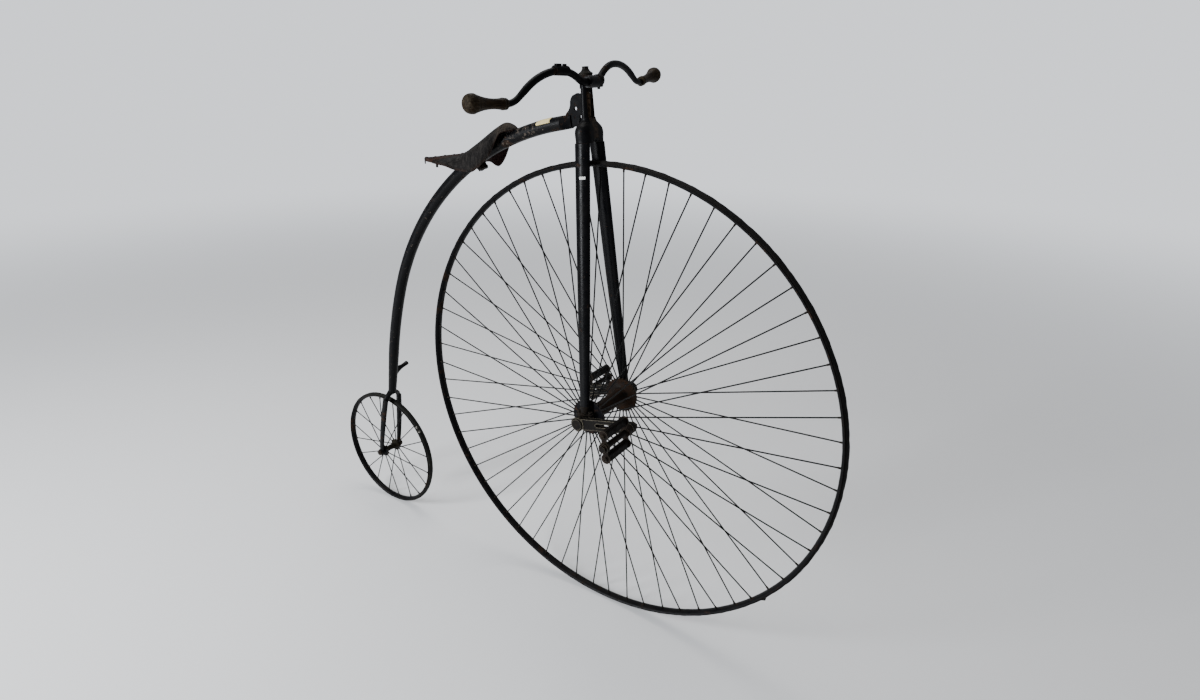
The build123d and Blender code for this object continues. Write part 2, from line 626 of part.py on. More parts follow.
# ================================================================ mounting step
# a forged peg on the backbone's left, spread where it is brazed on, its end turned up
STEP_BELOW_ARCS = 66.0
with BuildPart() as mounting_step:
    step_centre = lower @ 1 + down_dir * STEP_BELOW_ARCS
    # station: distance from the backbone's middle, rise, half height, half width
    for reach, rise_z, half_h, half_w in ((8, -6, 20, 10), (22, -2, 12, 7.5), (40, 2, 7, 7)):
        with BuildSketch(Plane(origin=step_centre + Vector(0, reach, rise_z), x_dir=(1, 0, 0), z_dir=(0, 1, 0))):
            Ellipse(half_w, half_h)
    loft()
    for reach, rise_z, half_h, half_w in ((40, 2, 7, 7), (62, 7, 6.5, 9)):
        with BuildSketch(Plane(origin=step_centre + Vector(0, reach, rise_z), x_dir=(1, 0, 0), z_dir=(0, 1, 0))):
            Ellipse(half_w, half_h)
    loft()
    with BuildSketch(Plane(origin=step_centre - down_dir * 40, z_dir=down_dir)):
        Circle(BACKBONE_D / 2 + 0.05)
    extrude(amount=80, mode=Mode.SUBTRACT)

# ================================================================ saddle
# station: place behind the front wheel's centre, height of the ridge, half width, drop of the flaps
SADDLE_STATIONS = (
    (-284.0, 717.5, 12.0, 6.5),
    (-312.0, 724.0, 26.0, 18.0),
    (-345.0, 708.5, 41.0, 58.0),
    (-393.0, 678.0, 51.0, 74.0),
    (-443.0, 649.7, 60.0, 50.0),
    (-493.5, 634.0, 70.0, 18.0),
    (-549.5, 630.5, 76.0, 10.0),
)
LEATHER_T = 5.0
with BuildPart() as saddle_leather:
    for place_x, ridge_z, half_w, drop in SADDLE_STATIONS:
        section = Plane(
            origin=(HUB_X + place_x, 0, HUB_Z + ridge_z), x_dir=(0, 1, 0), z_dir=(1, 0, 0))
        inner_w = half_w - LEATHER_T
        with BuildSketch(section):
            with BuildLine():
                ThreePointArc((-half_w, -drop), (0, 0), (half_w, -drop))
                Line((half_w, -drop), (inner_w, -drop))
                ThreePointArc((inner_w, -drop), (0, -LEATHER_T), (-inner_w, -drop))
                Line((-inner_w, -drop), (-half_w, -drop))
            make_face()
    loft()

# flat steel spring under the leather, its nose turned up and its tail level
SPRING_W = 28.0
SPRING_T = 3.5
SPRING_LINE = (
    (-298.5, 709.0), (-310.5, 702.5), (-345.0, 689.5), (-393.0, 666.0), (-443.5, 638.0),
    (-483.5, 618.2), (-531.5, 617.6), (-548.5, 617.8))
with BuildPart() as saddle_spring:
    with BuildSketch(SIDE.offset(-SPRING_W / 2)):
        with BuildLine():
            bottom = [(x, z) for x, z in SPRING_LINE]
            top = [(x, z + SPRING_T) for x, z in reversed(SPRING_LINE)]
            Polyline(*bottom, *top, bottom[0])
        make_face()
    extrude(amount=SPRING_W)

# bowed iron plate on the spring's end, under the leather's rear edge, with two bag hooks
CANTLE_X = -545.5
CANTLE_HALF_W = 68.0
HOOK_Y = 44.0
with BuildPart() as saddle_cantle:
    with BuildSketch(Plane(origin=(HUB_X + CANTLE_X, 0, HUB_Z + 630.9), x_dir=(0, 1, 0), z_dir=(1, 0, 0))):
        with BuildLine():
            ThreePointArc((-CANTLE_HALF_W, -10.6), (0, -5.7), (CANTLE_HALF_W, -10.6))
            Line((CANTLE_HALF_W, -10.6), (CANTLE_HALF_W - 2, -14))
            ThreePointArc((CANTLE_HALF_W - 2, -14), (0, -9.1), (2 - CANTLE_HALF_W, -14))
            Line((2 - CANTLE_HALF_W, -14), (-CANTLE_HALF_W, -10.6))
        make_face()
    extrude(amount=9)
    with BuildSketch(Plane(origin=(HUB_X + CANTLE_X + 8, 0, HUB_Z + 618.9), x_dir=(1, 0, 0), z_dir=(0, 0, 1))):
        with Locations((0, -HOOK_Y), (0, HOOK_Y)):
            Rectangle(16, 12)
    extrude(amount=3.2)
    with BuildSketch(Plane(origin=(HUB_X + CANTLE_X + 12, 0, HUB_Z + 601), x_dir=(1, 0, 0), z_dir=(0, 0, 1))):
        with Locations((0, -HOOK_Y), (0, HOOK_Y)):
            Circle(3.2)
    extrude(amount=19)

# thin band round the backbone under the spring, drawn together by a bolt below
CLIP_W = 24.0
with BuildPart() as saddle_clip:
    clip_at = 0.343
    clip_dir = upper % clip_at
    clip_centre = upper @ clip_at
    clip_down = clip_dir.cross(Vector(0, 1, 0))
    with BuildSketch(Plane(origin=clip_centre - clip_dir * (CLIP_W / 2), x_dir=clip_down, z_dir=clip_dir)):
        Circle(BACKBONE_D / 2 + 2.1)
        with Locations((BACKBONE_D / 2 + 7, 0)):
            Rectangle(18, 14)
        Circle(BACKBONE_D / 2 + 0.25, mode=Mode.SUBTRACT)
        with Locations((BACKBONE_D / 2 + 9, 0)):
            Rectangle(20, 4, mode=Mode.SUBTRACT)
    extrude(amount=CLIP_W)
    bolt_start = clip_centre + clip_down * (BACKBONE_D / 2 + 9) + Vector(0, -16, 0)
    with BuildSketch(Plane(origin=bolt_start, x_dir=clip_dir, z_dir=(0, 1, 0))):
        RegularPolygon(radius=7, side_count=6)
    extrude(amount=32)

# ================================================================ write the pieces
pieces = {
    "front_spokes": front_spokes, "front_hub": front_hub, "front_axle": front_axle,
    "fork_head": fork_head, "head_adjuster": head_adjuster, "handlebar": handlebar,
    "bar_clip": bar_clip, "brake_lug": brake_lug,
    "backbone": backbone, "neck": neck, "rear_fork": rear_fork, "rear_axle": rear_axle,
    "rear_spokes": rear_spokes, "rear_hub": rear_hub, "mounting_step": mounting_step,
    "saddle_leather": saddle_leather, "saddle_spring": saddle_spring,
    "saddle_clip": saddle_clip, "saddle_cantle": saddle_cantle,
}
for name in ("front", "rear"):
    pieces[name + "_tyre"] = tyres[name]
    pieces[name + "_rim"] = rims[name]
for name in ("right", "left"):
    pieces["crank_" + name] = cranks[name]
    pieces["pedal_pin_" + name] = pins[name]
    pieces["pedal_cage_" + name] = cages[name]
    pieces["pedal_blocks_" + name] = blocks[name]
    pieces["fork_leg_" + name] = legs[name]
    pieces["bearing_case_" + name] = bearings[name]
    pieces["grip_" + name] = grips[name]
    pieces["grip_ferrule_" + name] = ferrules[name]

for name, piece in pieces.items():
    piece.part.label = name
    export_step(piece.part, "parts/" + name + ".step")
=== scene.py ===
import math
import bpy
import numpy as np
from mathutils import Matrix, Vector


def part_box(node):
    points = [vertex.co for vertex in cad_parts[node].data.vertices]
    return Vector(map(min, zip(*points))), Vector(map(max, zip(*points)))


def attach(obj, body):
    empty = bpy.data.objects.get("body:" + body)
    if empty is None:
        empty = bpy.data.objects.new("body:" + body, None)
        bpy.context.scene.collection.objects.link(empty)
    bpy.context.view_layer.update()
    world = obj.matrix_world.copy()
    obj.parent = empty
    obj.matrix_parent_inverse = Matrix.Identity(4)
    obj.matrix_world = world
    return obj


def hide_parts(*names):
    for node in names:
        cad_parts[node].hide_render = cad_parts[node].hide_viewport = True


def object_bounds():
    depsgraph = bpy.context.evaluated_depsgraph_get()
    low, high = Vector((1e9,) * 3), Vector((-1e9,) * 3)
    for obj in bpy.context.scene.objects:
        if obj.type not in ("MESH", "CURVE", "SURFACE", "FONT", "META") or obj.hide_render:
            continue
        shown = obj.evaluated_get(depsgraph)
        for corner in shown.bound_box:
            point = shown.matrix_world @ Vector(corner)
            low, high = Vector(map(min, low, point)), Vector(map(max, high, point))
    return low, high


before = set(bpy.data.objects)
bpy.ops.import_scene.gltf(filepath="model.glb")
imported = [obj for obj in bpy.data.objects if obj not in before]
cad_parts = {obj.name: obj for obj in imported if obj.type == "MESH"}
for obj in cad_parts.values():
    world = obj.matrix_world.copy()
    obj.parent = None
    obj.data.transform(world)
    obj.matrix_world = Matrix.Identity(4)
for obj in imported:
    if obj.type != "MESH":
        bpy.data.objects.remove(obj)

cad_low, cad_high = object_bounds()

# ================================================================ camera
# A wide lens held at handlebar height, off the machine's right side and ahead
# of it, looking back and down across it to the front hub.
CAMERA_AT = (1.3676, -1.4195, 0.1877)
CAMERA_RIGHT = (0.83174, 0.55515, 0.00302)
CAMERA_DOWN = (0.20782, -0.30632, -0.92897)
CAMERA_FORWARD = (-0.51479, 0.77329, -0.37015)
camera = bpy.data.objects.new("camera", bpy.data.cameras.new("camera"))
camera.data.lens = 20.644
camera.data.sensor_width = 36.0
camera.data.clip_end = 60.0
bpy.context.scene.collection.objects.link(camera)
camera.matrix_world = Matrix(
    [(right, -down, -forward, at) for right, down, forward, at
     in zip(CAMERA_RIGHT, CAMERA_DOWN, CAMERA_FORWARD, CAMERA_AT)] + [(0, 0, 0, 1)])
bpy.context.scene.camera = camera


# ================================================================ floor and light
# A plain pale floor under both wheels, and the soft light of a studio: one tall
# panel standing on the right, a wide one overhead, and an even pale surround.
def give(tree, sockets, values):
    """Gives each socket its value: a plain one, or another node's output."""
    for socket, value in zip(sockets, values):
        if isinstance(value, bpy.types.NodeSocket):
            tree.links.new(value, socket)
        else:
            socket.default_value = value


def node(tree, kind, settings=None, **sockets):
    """One shader node, with settings, and values for the sockets of those names."""
    made = tree.nodes.new("ShaderNode" + kind)
    for key, value in (settings or {}).items():
        setattr(made, key, value)
    give(tree, [made.inputs[key.replace("_", " ")] for key in sockets], sockets.values())
    return made


def vector_sum(tree, operation, *vectors):
    """A node that works on vectors, given in order."""
    made = node(tree, "VectorMath", {"operation": operation})
    give(tree, made.inputs, vectors)
    return made


def ramp(tree, value, low, high, to_low=0.0, to_high=1.0, course="LINEAR"):
    """From to_low at low to to_high at high, level outside them; straight unless eased."""
    return node(tree, "MapRange", {"interpolation_type": course}, Value=value, From_Min=low,
                From_Max=high, To_Min=to_low, To_Max=to_high).outputs["Result"]


def object_place(tree):
    """Output that gives a point's place on the machine at rest."""
    return node(tree, "TexCoord").outputs["Object"]


def insides(material):
    """A material's node tree and its one shader."""
    return material.node_tree, material.node_tree.nodes["Principled BSDF"]


def surface(name):
    """A new material, its node tree and its one shader."""
    material = bpy.data.materials.new(name)
    material.use_nodes = True
    return material, *insides(material)


def surround_strength(tree):
    """The surround shows pale, and lights the machine at under a third of that."""
    seen = node(tree, "LightPath").outputs["Is Camera Ray"]
    return ramp(tree, seen, 0.0, 1.0, SURROUND_LIGHT, SURROUND_SEEN)


FLOOR_SIZE = 40.0
FLOOR_COLOUR = (0.88, 0.88, 0.88, 1)
FADE_FROM, FADE_TO = 1.5, 9.0
SURROUND = (0.88, 0.91, 0.96, 1)
SURROUND_SEEN, SURROUND_LIGHT = 1.3, 0.38

corner = FLOOR_SIZE / 2
floor_mesh = bpy.data.meshes.new("floor")
floor_mesh.from_pydata(
    [(-corner, -corner, cad_low[2]), (corner, -corner, cad_low[2]),
     (corner, corner, cad_low[2]), (-corner, corner, cad_low[2])], [], [(0, 1, 2, 3)])
floor = bpy.data.objects.new("floor", floor_mesh)
bpy.context.scene.collection.objects.link(floor)
floor_paint, floor_tree, floor_shader = surface("pale floor")
floor_shader.inputs["Base Color"].default_value = FLOOR_COLOUR
floor_shader.inputs["Roughness"].default_value = 0.7
floor.data.materials.append(floor_paint)

world = bpy.data.worlds.new("studio")
bpy.context.scene.world = world
world.use_nodes = True
sky = world.node_tree
give(sky, [sky.nodes["Background"].inputs[name] for name in ("Color", "Strength")],
     (SURROUND, surround_strength(sky)))

# far from the machine the floor fades into the surround, so that no horizon shows
away = vector_sum(floor_tree, "LENGTH", object_place(floor_tree)).outputs["Value"]
fade = ramp(floor_tree, away, FADE_FROM, FADE_TO, course="SMOOTHSTEP")
glow = node(floor_tree, "Emission", None, Color=SURROUND, Strength=surround_strength(floor_tree))
faded = node(floor_tree, "MixShader")
give(floor_tree, faded.inputs, (fade, floor_shader.outputs["BSDF"], glow.outputs["Emission"]))
floor_output = floor_tree.nodes["Material Output"]
floor_tree.links.new(faded.outputs["Shader"], floor_output.inputs["Surface"])


def light_panel(name, place, towards, width, height, power, colour):
    """A soft panel at place, turned to face towards."""
    lamp = bpy.data.lights.new(name, "AREA")
    lamp.shape = "RECTANGLE"
    lamp.size = width
    lamp.size_y = height
    lamp.energy = power
    lamp.color = colour
    panel = bpy.data.objects.new(name, lamp)
    panel.location = place
    panel.rotation_euler = (Vector(towards) - Vector(place)).to_track_quat("-Z", "Y").to_euler()
    bpy.context.scene.collection.objects.link(panel)


light_panel("window", (-1.9, -4.0, 0.9), (0.2, 0.0, -0.3), 1.1, 3.6, 380.0, (0.93, 0.96, 1.0))
light_panel("ceiling", (-0.6, 0.9, 3.2), (0.2, 0.0, -0.5), 2.6, 2.6, 75.0, (1.0, 0.98, 0.96))


# ================================================================ black enamel
# The frame's tubes and forgings were dipped and stoved in black enamel. It has
# crazed and chipped down to brown iron, and dust lies on what faces up.
def speckle(tree, place, scale, low, high, detail=6.0, roughness=0.6):
    """0 where a noise of that scale is under low, 1 where it is over high, smooth between."""
    noise = node(tree, "TexNoise", None, Vector=place, Scale=scale, Detail=detail,
                 Roughness=roughness)
    return ramp(tree, noise.outputs["Fac"], low, high, course="SMOOTHSTEP")


def calc(tree, operation, first, second=0.0):
    """Two values added (and held between 0 and 1), subtracted, multiplied or compared."""
    made = node(tree, "Math", {"operation": operation, "use_clamp": operation == "ADD"})
    give(tree, made.inputs, (first, second))
    return made.outputs["Value"]


def times(tree, first, second):
    """The product of two values."""
    return calc(tree, "MULTIPLY", first, second)


def larger(tree, first, second):
    """The larger of two values."""
    return calc(tree, "MAXIMUM", first, second)


def part_of(tree, vector, axis):
    """A vector's X, Y or Z."""
    return node(tree, "SeparateXYZ", None, Vector=vector).outputs[axis]


def normal_of(tree):
    """Output that gives the surface's own normal."""
    return node(tree, "NewGeometry").outputs["Normal"]


def blend(tree, share, first, second):
    """First colour where share is 0, second where it is 1."""
    return node(tree, "MixRGB", None, Fac=share, Color1=first, Color2=second).outputs["Color"]


def worn_edge(tree, width):
    """1 along sharp edges and 0 elsewhere: how far the rounded normal turns from the true one."""
    rounded = node(tree, "Bevel", {"samples": 4}, Radius=width).outputs["Normal"]
    alike = vector_sum(tree, "DOT_PRODUCT", rounded, normal_of(tree)).outputs["Value"]
    return ramp(tree, alike, 0.95, 0.78)


def dust_share(tree, place, most):
    """Dust lies where a surface faces up, in clouds."""
    facing_up = ramp(tree, part_of(tree, normal_of(tree), "Z"), 0.25, 1.0, 0.0, most)
    return times(tree, facing_up, speckle(tree, place, 30.0, 0.3, 0.75))


def coat(tree, shader, colour, roughness, specular):
    """Gives the shader its colour, its roughness and how strongly it mirrors."""
    give(tree, [shader.inputs[name] for name in ("Base Color", "Roughness", "Specular IOR Level")],
         (colour, roughness, specular))


def coat_over(tree, shader, share, colour):
    """Lays another colour over the shader's present one where share is 1."""
    base = shader.inputs["Base Color"]
    tree.links.new(blend(tree, share, base.links[0].from_socket, colour), base)


def raised(tree, shader, height, depth, strength=1.0):
    """Gives the shader a relief of that depth in metres."""
    relief = node(tree, "Bump", None, Height=height, Strength=strength, Distance=depth)
    tree.links.new(relief.outputs["Normal"], shader.inputs["Normal"])


BLACK = (0.0012, 0.0013, 0.0019, 1)
GREY_BLACK = (0.0028, 0.0027, 0.0031, 1)
IRON_BROWN = (0.026, 0.0140, 0.0085, 1)
IRON_DARK = (0.0065, 0.0046, 0.0037, 1)
GRIT = (0.13, 0.105, 0.082, 1)
DUST = (0.022, 0.0195, 0.017, 1)


def black_enamel(name, chips, dust=0.22, gloss=0.26, edges=0.5, pale=0.72, rubbed=None,
                 specular=0.085):
    """Enamel with chips where a noise passes the chips level, and pale grit past the pale
    level; lower levels mean more of them. Between the two places in rubbed, told by how far
    forward they are, there is more grit."""
    material, tree, shader = surface(name)
    place = object_place(tree)
    broad = speckle(tree, place, 11.0, chips, chips + 0.025, 9.0, 0.68)
    specks = speckle(tree, place, 85.0, chips + 0.07, chips + 0.10, 4.0, 0.6)
    bare = larger(tree, larger(tree, broad, specks), times(tree, worn_edge(tree, 0.0012), edges))
    paint = blend(tree, speckle(tree, place, 45.0, 0.35, 0.7), BLACK, GREY_BLACK)
    iron = blend(tree, speckle(tree, place, 160.0, 0.35, 0.65), IRON_DARK, IRON_BROWN)
    colour = blend(tree, bare, paint, iron)
    grit = speckle(tree, place, 105.0, pale, pale + 0.03, 5.0, 0.7)
    if rubbed:
        aft, fore = rubbed
        along = part_of(tree, place, "X")
        stretch = times(tree, ramp(tree, along, aft, aft + 0.02),
                        ramp(tree, along, fore, fore - 0.02))
        scratched = times(tree, stretch, speckle(tree, place, 120.0, 0.555, 0.60, 6.0, 0.72))
        grit = larger(tree, grit, times(tree, scratched, 0.45))
    colour = blend(tree, grit, colour, GRIT)
    colour = blend(tree, dust_share(tree, place, dust), colour, DUST)
    haze = ramp(tree, speckle(tree, place, 60.0, 0.3, 0.7), 0.0, 1.0, 0.0, 0.16)
    rough = calc(tree, "ADD", ramp(tree, bare, 0.0, 1.0, gloss, 0.72), haze)
    coat(tree, shader, colour, rough, specular)
    orange_peel = node(tree, "TexNoise", None, Vector=place, Scale=240.0, Detail=3.0)
    height = calc(tree, "SUBTRACT", times(tree, orange_peel.outputs["Fac"], 0.35),
                  times(tree, bare, 0.7))
    raised(tree, shader, height, 0.0005, 0.8)
    return material


def finish_nodes(material, *names):
    """Puts one material on whole CAD nodes."""
    for name in names:
        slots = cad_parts[name].material_slots
        for slot in slots:
            slot.link = "OBJECT"
            slot.material = material
        if not slots:
            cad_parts[name].data.materials.append(material)


finish_nodes(black_enamel("tube enamel", 0.605, dust=0.05, gloss=0.24, pale=0.665,
                          rubbed=(0.10, 0.25)), "backbone")
finish_nodes(black_enamel("leg enamel", 0.60, dust=0.1, gloss=0.20, pale=0.70),
             "fork_leg_right", "fork_leg_left")
finish_nodes(black_enamel("rear fork enamel", 0.575, dust=0.12, gloss=0.3, edges=0.8),
             "rear_fork", "mounting_step")
finish_nodes(black_enamel("bar enamel", 0.60, dust=0.03, gloss=0.25, specular=0.045),
             "handlebar", "bar_clip")

# ================================================================ steering head
# Crown and open head are one forging, enamelled black; the neck's bare spindle
# stands between the two cheeks. All lean back with the steering axis.
RAKE = math.radians(4.3)
AXIS_UP = np.array([-math.sin(RAKE), 0.0, math.cos(RAKE)])
AXIS_FORE = np.array([math.cos(RAKE), 0.0, math.sin(RAKE)])
LEFT = np.array([0.0, 1.0, 0.0])


def middle_of(node_name):
    """Middle of a CAD node's box."""
    low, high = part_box(node_name)
    return np.array((low + high) / 2)


WHEEL_CENTRE = middle_of("front_axle")
CENTRE_FORE = float(WHEEL_CENTRE @ AXIS_FORE)
CENTRE_UP = float(WHEEL_CENTRE @ AXIS_UP)
# each pair is a soft border: where it begins and where it is complete, in metres
STRIPE_SIDE = (0.013, 0.004)
SLOT_SIDE = (0.0142, 0.0136)
SLOT_FOOT = (CENTRE_UP + 0.733, CENTRE_UP + 0.739)
SLOT_TOP = (CENTRE_UP + 0.806, CENTRE_UP + 0.800)
SPINDLE_BACK = (CENTRE_FORE - 0.0105, CENTRE_FORE - 0.0085)


def head_enamel():
    """Black enamel with a stripe of bare brown iron down the middle of the front, and the
    same iron inside the slot."""
    material = black_enamel("head enamel", 0.575, dust=0.2, gloss=0.3, edges=0.9)
    tree, shader = insides(material)
    place = object_place(tree)
    off_middle = calc(tree, "ABSOLUTE", part_of(tree, place, "Y"))
    facing_fore = ramp(tree, part_of(tree, normal_of(tree), "X"), 0.2, 0.7)
    stripe = times(tree, ramp(tree, off_middle, *STRIPE_SIDE), facing_fore)
    up = vector_sum(tree, "DOT_PRODUCT", place, AXIS_UP).outputs["Value"]
    below_top = ramp(tree, up, *SLOT_TOP)
    slot = times(tree, ramp(tree, off_middle, *SLOT_SIDE),
                 times(tree, ramp(tree, up, *SLOT_FOOT), below_top))
    stripe = larger(tree, times(tree, stripe, below_top), slot)
    stripe = times(tree, stripe, speckle(tree, place, 55.0, 0.34, 0.46))
    iron = blend(tree, speckle(tree, place, 120.0, 0.4, 0.6), (0.0085, 0.0058, 0.0040, 1),
                 (0.042, 0.027, 0.0165, 1))
    coat_over(tree, shader, stripe, iron)
    return material


def neck_iron_painted_lighter():
    """Thin black on the web; the spindle that shows in the open head is bare brown iron, painted a
    lighter brown than the iron has to offset the shade it stands in.
    """
    material = black_enamel("neck web enamel", 0.575, dust=0.10, gloss=0.42, specular=0.04)
    tree, shader = insides(material)
    place = object_place(tree)
    fore = vector_sum(tree, "DOT_PRODUCT", place, AXIS_FORE).outputs["Value"]
    # painted light: the spindle's brown is lighter than bare iron, to lift the shade between the
    # head's cheeks
    iron = blend(tree, speckle(tree, place, 150.0, 0.38, 0.62), (0.018, 0.0118, 0.0074, 1),
                 (0.075, 0.050, 0.032, 1))
    coat_over(tree, shader, ramp(tree, fore, *SPINDLE_BACK), iron)
    return material


finish_nodes(head_enamel(), "fork_head")
finish_nodes(neck_iron_painted_lighter(), "neck")


# ================================================================ bare iron fittings
# Bolts, cases, cranks and clips were left bright or thinly painted. They have
# a dark brown rust film now, greasy in the hollows and paler on their corners.
# On the cranks the pale corners are partly a painted highlight.
def rusty_iron(name, dark, light, share=0.5, edge=(0.070, 0.057, 0.046, 1), edge_share=0.7,
               rough=0.52, edge_width=0.0014):
    """Dark iron under patches of rust of the light colour, with rubbed corners."""
    material, tree, shader = surface(name)
    place = object_place(tree)
    patches = speckle(tree, place, 48.0, share - 0.12, share + 0.12, 8.0, 0.7)
    fine = speckle(tree, place, 300.0, 0.35, 0.7, 3.0)
    colour = blend(tree, patches, dark, light)
    colour = blend(tree, times(tree, fine, 0.45), colour, (0.0036, 0.0028, 0.0025, 1))
    colour = blend(tree, times(tree, worn_edge(tree, edge_width), edge_share), colour, edge)
    colour = blend(tree, dust_share(tree, place, 0.25), colour, DUST)
    coat(tree, shader, colour, ramp(tree, patches, 0.0, 1.0, rough - 0.1, rough + 0.22), 0.08)
    pits = node(tree, "TexNoise", None, Vector=place, Scale=420.0, Detail=5.0, Roughness=0.7)
    raised(tree, shader, calc(tree, "ADD", pits.outputs["Fac"], patches), 0.0004, 0.7)
    return material


DARK_IRON = (0.0030, 0.0028, 0.0024, 1)
RUST_BROWN = (0.0115, 0.0080, 0.0052, 1)
RUST_ORANGE = (0.0185, 0.0088, 0.0040, 1)
finish_nodes(rusty_iron("bearing case iron", DARK_IRON, RUST_BROWN, share=0.52),
             "bearing_case_right", "bearing_case_left")
finish_nodes(rusty_iron("head cap iron", DARK_IRON, (0.0105, 0.0092, 0.0066, 1),
                        edge=(0.070, 0.062, 0.047, 1)), "head_adjuster")
finish_nodes(rusty_iron("brake lug iron", (0.0015, 0.0014, 0.0014, 1), (0.0048, 0.0036, 0.0028, 1),
                        edge=(0.030, 0.025, 0.020, 1), edge_share=0.5), "brake_lug")
# the crank's wide cream edges are partly rubbed iron and partly a painted highlight
crank_iron_with_painted_edge_highlight = rusty_iron("crank iron with painted edge highlight", (0.0018, 0.0016, 0.0013, 1), (0.0070, 0.0057, 0.0039, 1),
                        edge=(0.200, 0.176, 0.130, 1), edge_share=1.0, rough=0.42,
                        edge_width=0.0026)
finish_nodes(crank_iron_with_painted_edge_highlight, "crank_right", "crank_left")
pin_iron = rusty_iron("axle iron", (0.0060, 0.0052, 0.0046, 1), (0.019, 0.0130, 0.0088, 1))
finish_nodes(pin_iron, "front_axle", "rear_axle", "pedal_pin_right", "pedal_pin_left")
finish_nodes(rusty_iron("saddle iron", DARK_IRON, (0.0110, 0.0070, 0.0050, 1)),
             "saddle_spring", "saddle_cantle", "saddle_clip")


# ================================================================ hubs
# Each is turned from one bar. Barrel and left flange are brown or orange with
# rust; the right flange is still black, with a pale rim.
def hub_iron(name, black_from, dark, light):
    """Rust of two tones; enamel to the right of black_from, over a border 12 mm wide."""
    material = rusty_iron(name, dark, light, 0.47, (0.040, 0.028, 0.019, 1), 0.6, 0.6)
    tree, shader = insides(material)
    place = object_place(tree)
    right = ramp(tree, part_of(tree, place, "Y"), black_from - 0.006, black_from + 0.006, 1.0, 0.0)
    black = blend(tree, speckle(tree, place, 70.0, 0.56, 0.64), (0.0020, 0.0020, 0.0030, 1),
                  IRON_BROWN)
    black = blend(tree, worn_edge(tree, 0.0014), black, (0.075, 0.063, 0.056, 1))
    coat_over(tree, shader, right, black)
    return material


finish_nodes(hub_iron("front hub iron", -0.074, (0.0052, 0.0036, 0.0025, 1), RUST_ORANGE),
             "front_hub")
finish_nodes(hub_iron("rear hub iron", -0.0225, (0.0056, 0.0050, 0.0034, 1),
                      (0.017, 0.0140, 0.0082, 1)), "rear_hub")


# ================================================================ spokes
# Straight steel wires, headed at the rim and screwed straight into the hub
# flanges, each with a small collar where it enters the flange.
def wire_steel(name, dark, light, share):
    """Blackened wire with rust along it, in short broken stretches."""
    material, tree, shader = surface(name)
    patches = speckle(tree, object_place(tree), 38.0, share - 0.06, share + 0.08, 7.0, 0.7)
    coat(tree, shader, blend(tree, patches, dark, light),
         ramp(tree, patches, 0.0, 1.0, 0.38, 0.75), 0.08)
    raised(tree, shader, patches, 0.0002, 0.6)
    return material


def smooth_mesh(name, corners, faces, material, sharp_degrees=35.0):
    """A mesh object with smooth shading, broken where faces meet at a sharper angle."""
    mesh = bpy.data.meshes.new(name)
    mesh.from_pydata(np.asarray(corners, float).reshape(-1, 3).tolist(), [], faces)
    mesh.polygons.foreach_set("use_smooth", np.ones(len(mesh.polygons), bool))
    mesh.set_sharp_from_angle(angle=math.radians(sharp_degrees))
    mesh.materials.append(material)
    made = bpy.data.objects.new(name, mesh)
    bpy.context.scene.collection.objects.link(made)
    return made


def turned(name, profile, feet, directions, material, sides, body):
    """Turned pieces, one at each foot: a row of (distance along, radius) carried round each
    direction, so that a point = foot + direction * distance
    + (across1 * cos a + across2 * sin a) * radius."""
    profile = np.asarray(profile, float)
    feet = np.asarray(feet, float).reshape(-1, 3)
    directions = np.asarray(directions, float).reshape(-1, 3)
    directions = directions / np.linalg.norm(directions, axis=1, keepdims=True)
    helper = np.where(np.abs(directions[:, 1:2]) < 0.9, [[0.0, 1.0, 0.0]], [[1.0, 0.0, 0.0]])
    across1 = np.cross(directions, helper)
    across1 /= np.linalg.norm(across1, axis=1, keepdims=True)
    across2 = np.cross(directions, across1)
    angle = np.arange(sides) * 2 * math.pi / sides
    ring = (np.cos(angle)[:, None] * across1[:, None, :]
            + np.sin(angle)[:, None] * across2[:, None, :])
    points = (feet[:, None, None, :]
              + directions[:, None, None, :] * profile[None, :, 0, None, None]
              + ring[:, None, :, :] * profile[None, :, 1, None, None])
    count, rows = len(feet), len(profile)
    start = np.arange(count)[:, None, None] * rows * sides
    row = np.arange(rows - 1)[None, :, None] * sides
    here = np.arange(sides)[None, None, :]
    after = (here + 1) % sides
    quads = np.stack([start + row + here, start + row + after,
                      start + row + sides + after, start + row + sides + here], -1)
    first = (start[:, 0] + here[0, :, ::-1]).reshape(count, sides)
    last = (start[:, 0] + (rows - 1) * sides + here[0]).reshape(count, sides)
    made = smooth_mesh(name, points, quads.reshape(-1, 4).tolist() + first.tolist()
                       + last.tolist(), material)
    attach(made, body)


def spoke_lines(node_name, count, start_degrees, flange_r, flange_y, tip_r):
    """Feet and tips of spokes that leave the right and left flanges in turn."""
    centre = middle_of(node_name)
    k = np.arange(count)
    angle = np.radians(start_degrees + 360.0 * k / count)
    side = np.where(k % 2 == 1, 1.0, -1.0)[:, None]
    out = np.stack([np.cos(angle), np.zeros(count), np.sin(angle)], 1)
    feet = centre + out * flange_r + LEFT * side * flange_y
    tips = centre + out * tip_r + LEFT * side * TIP_Y
    return feet, tips


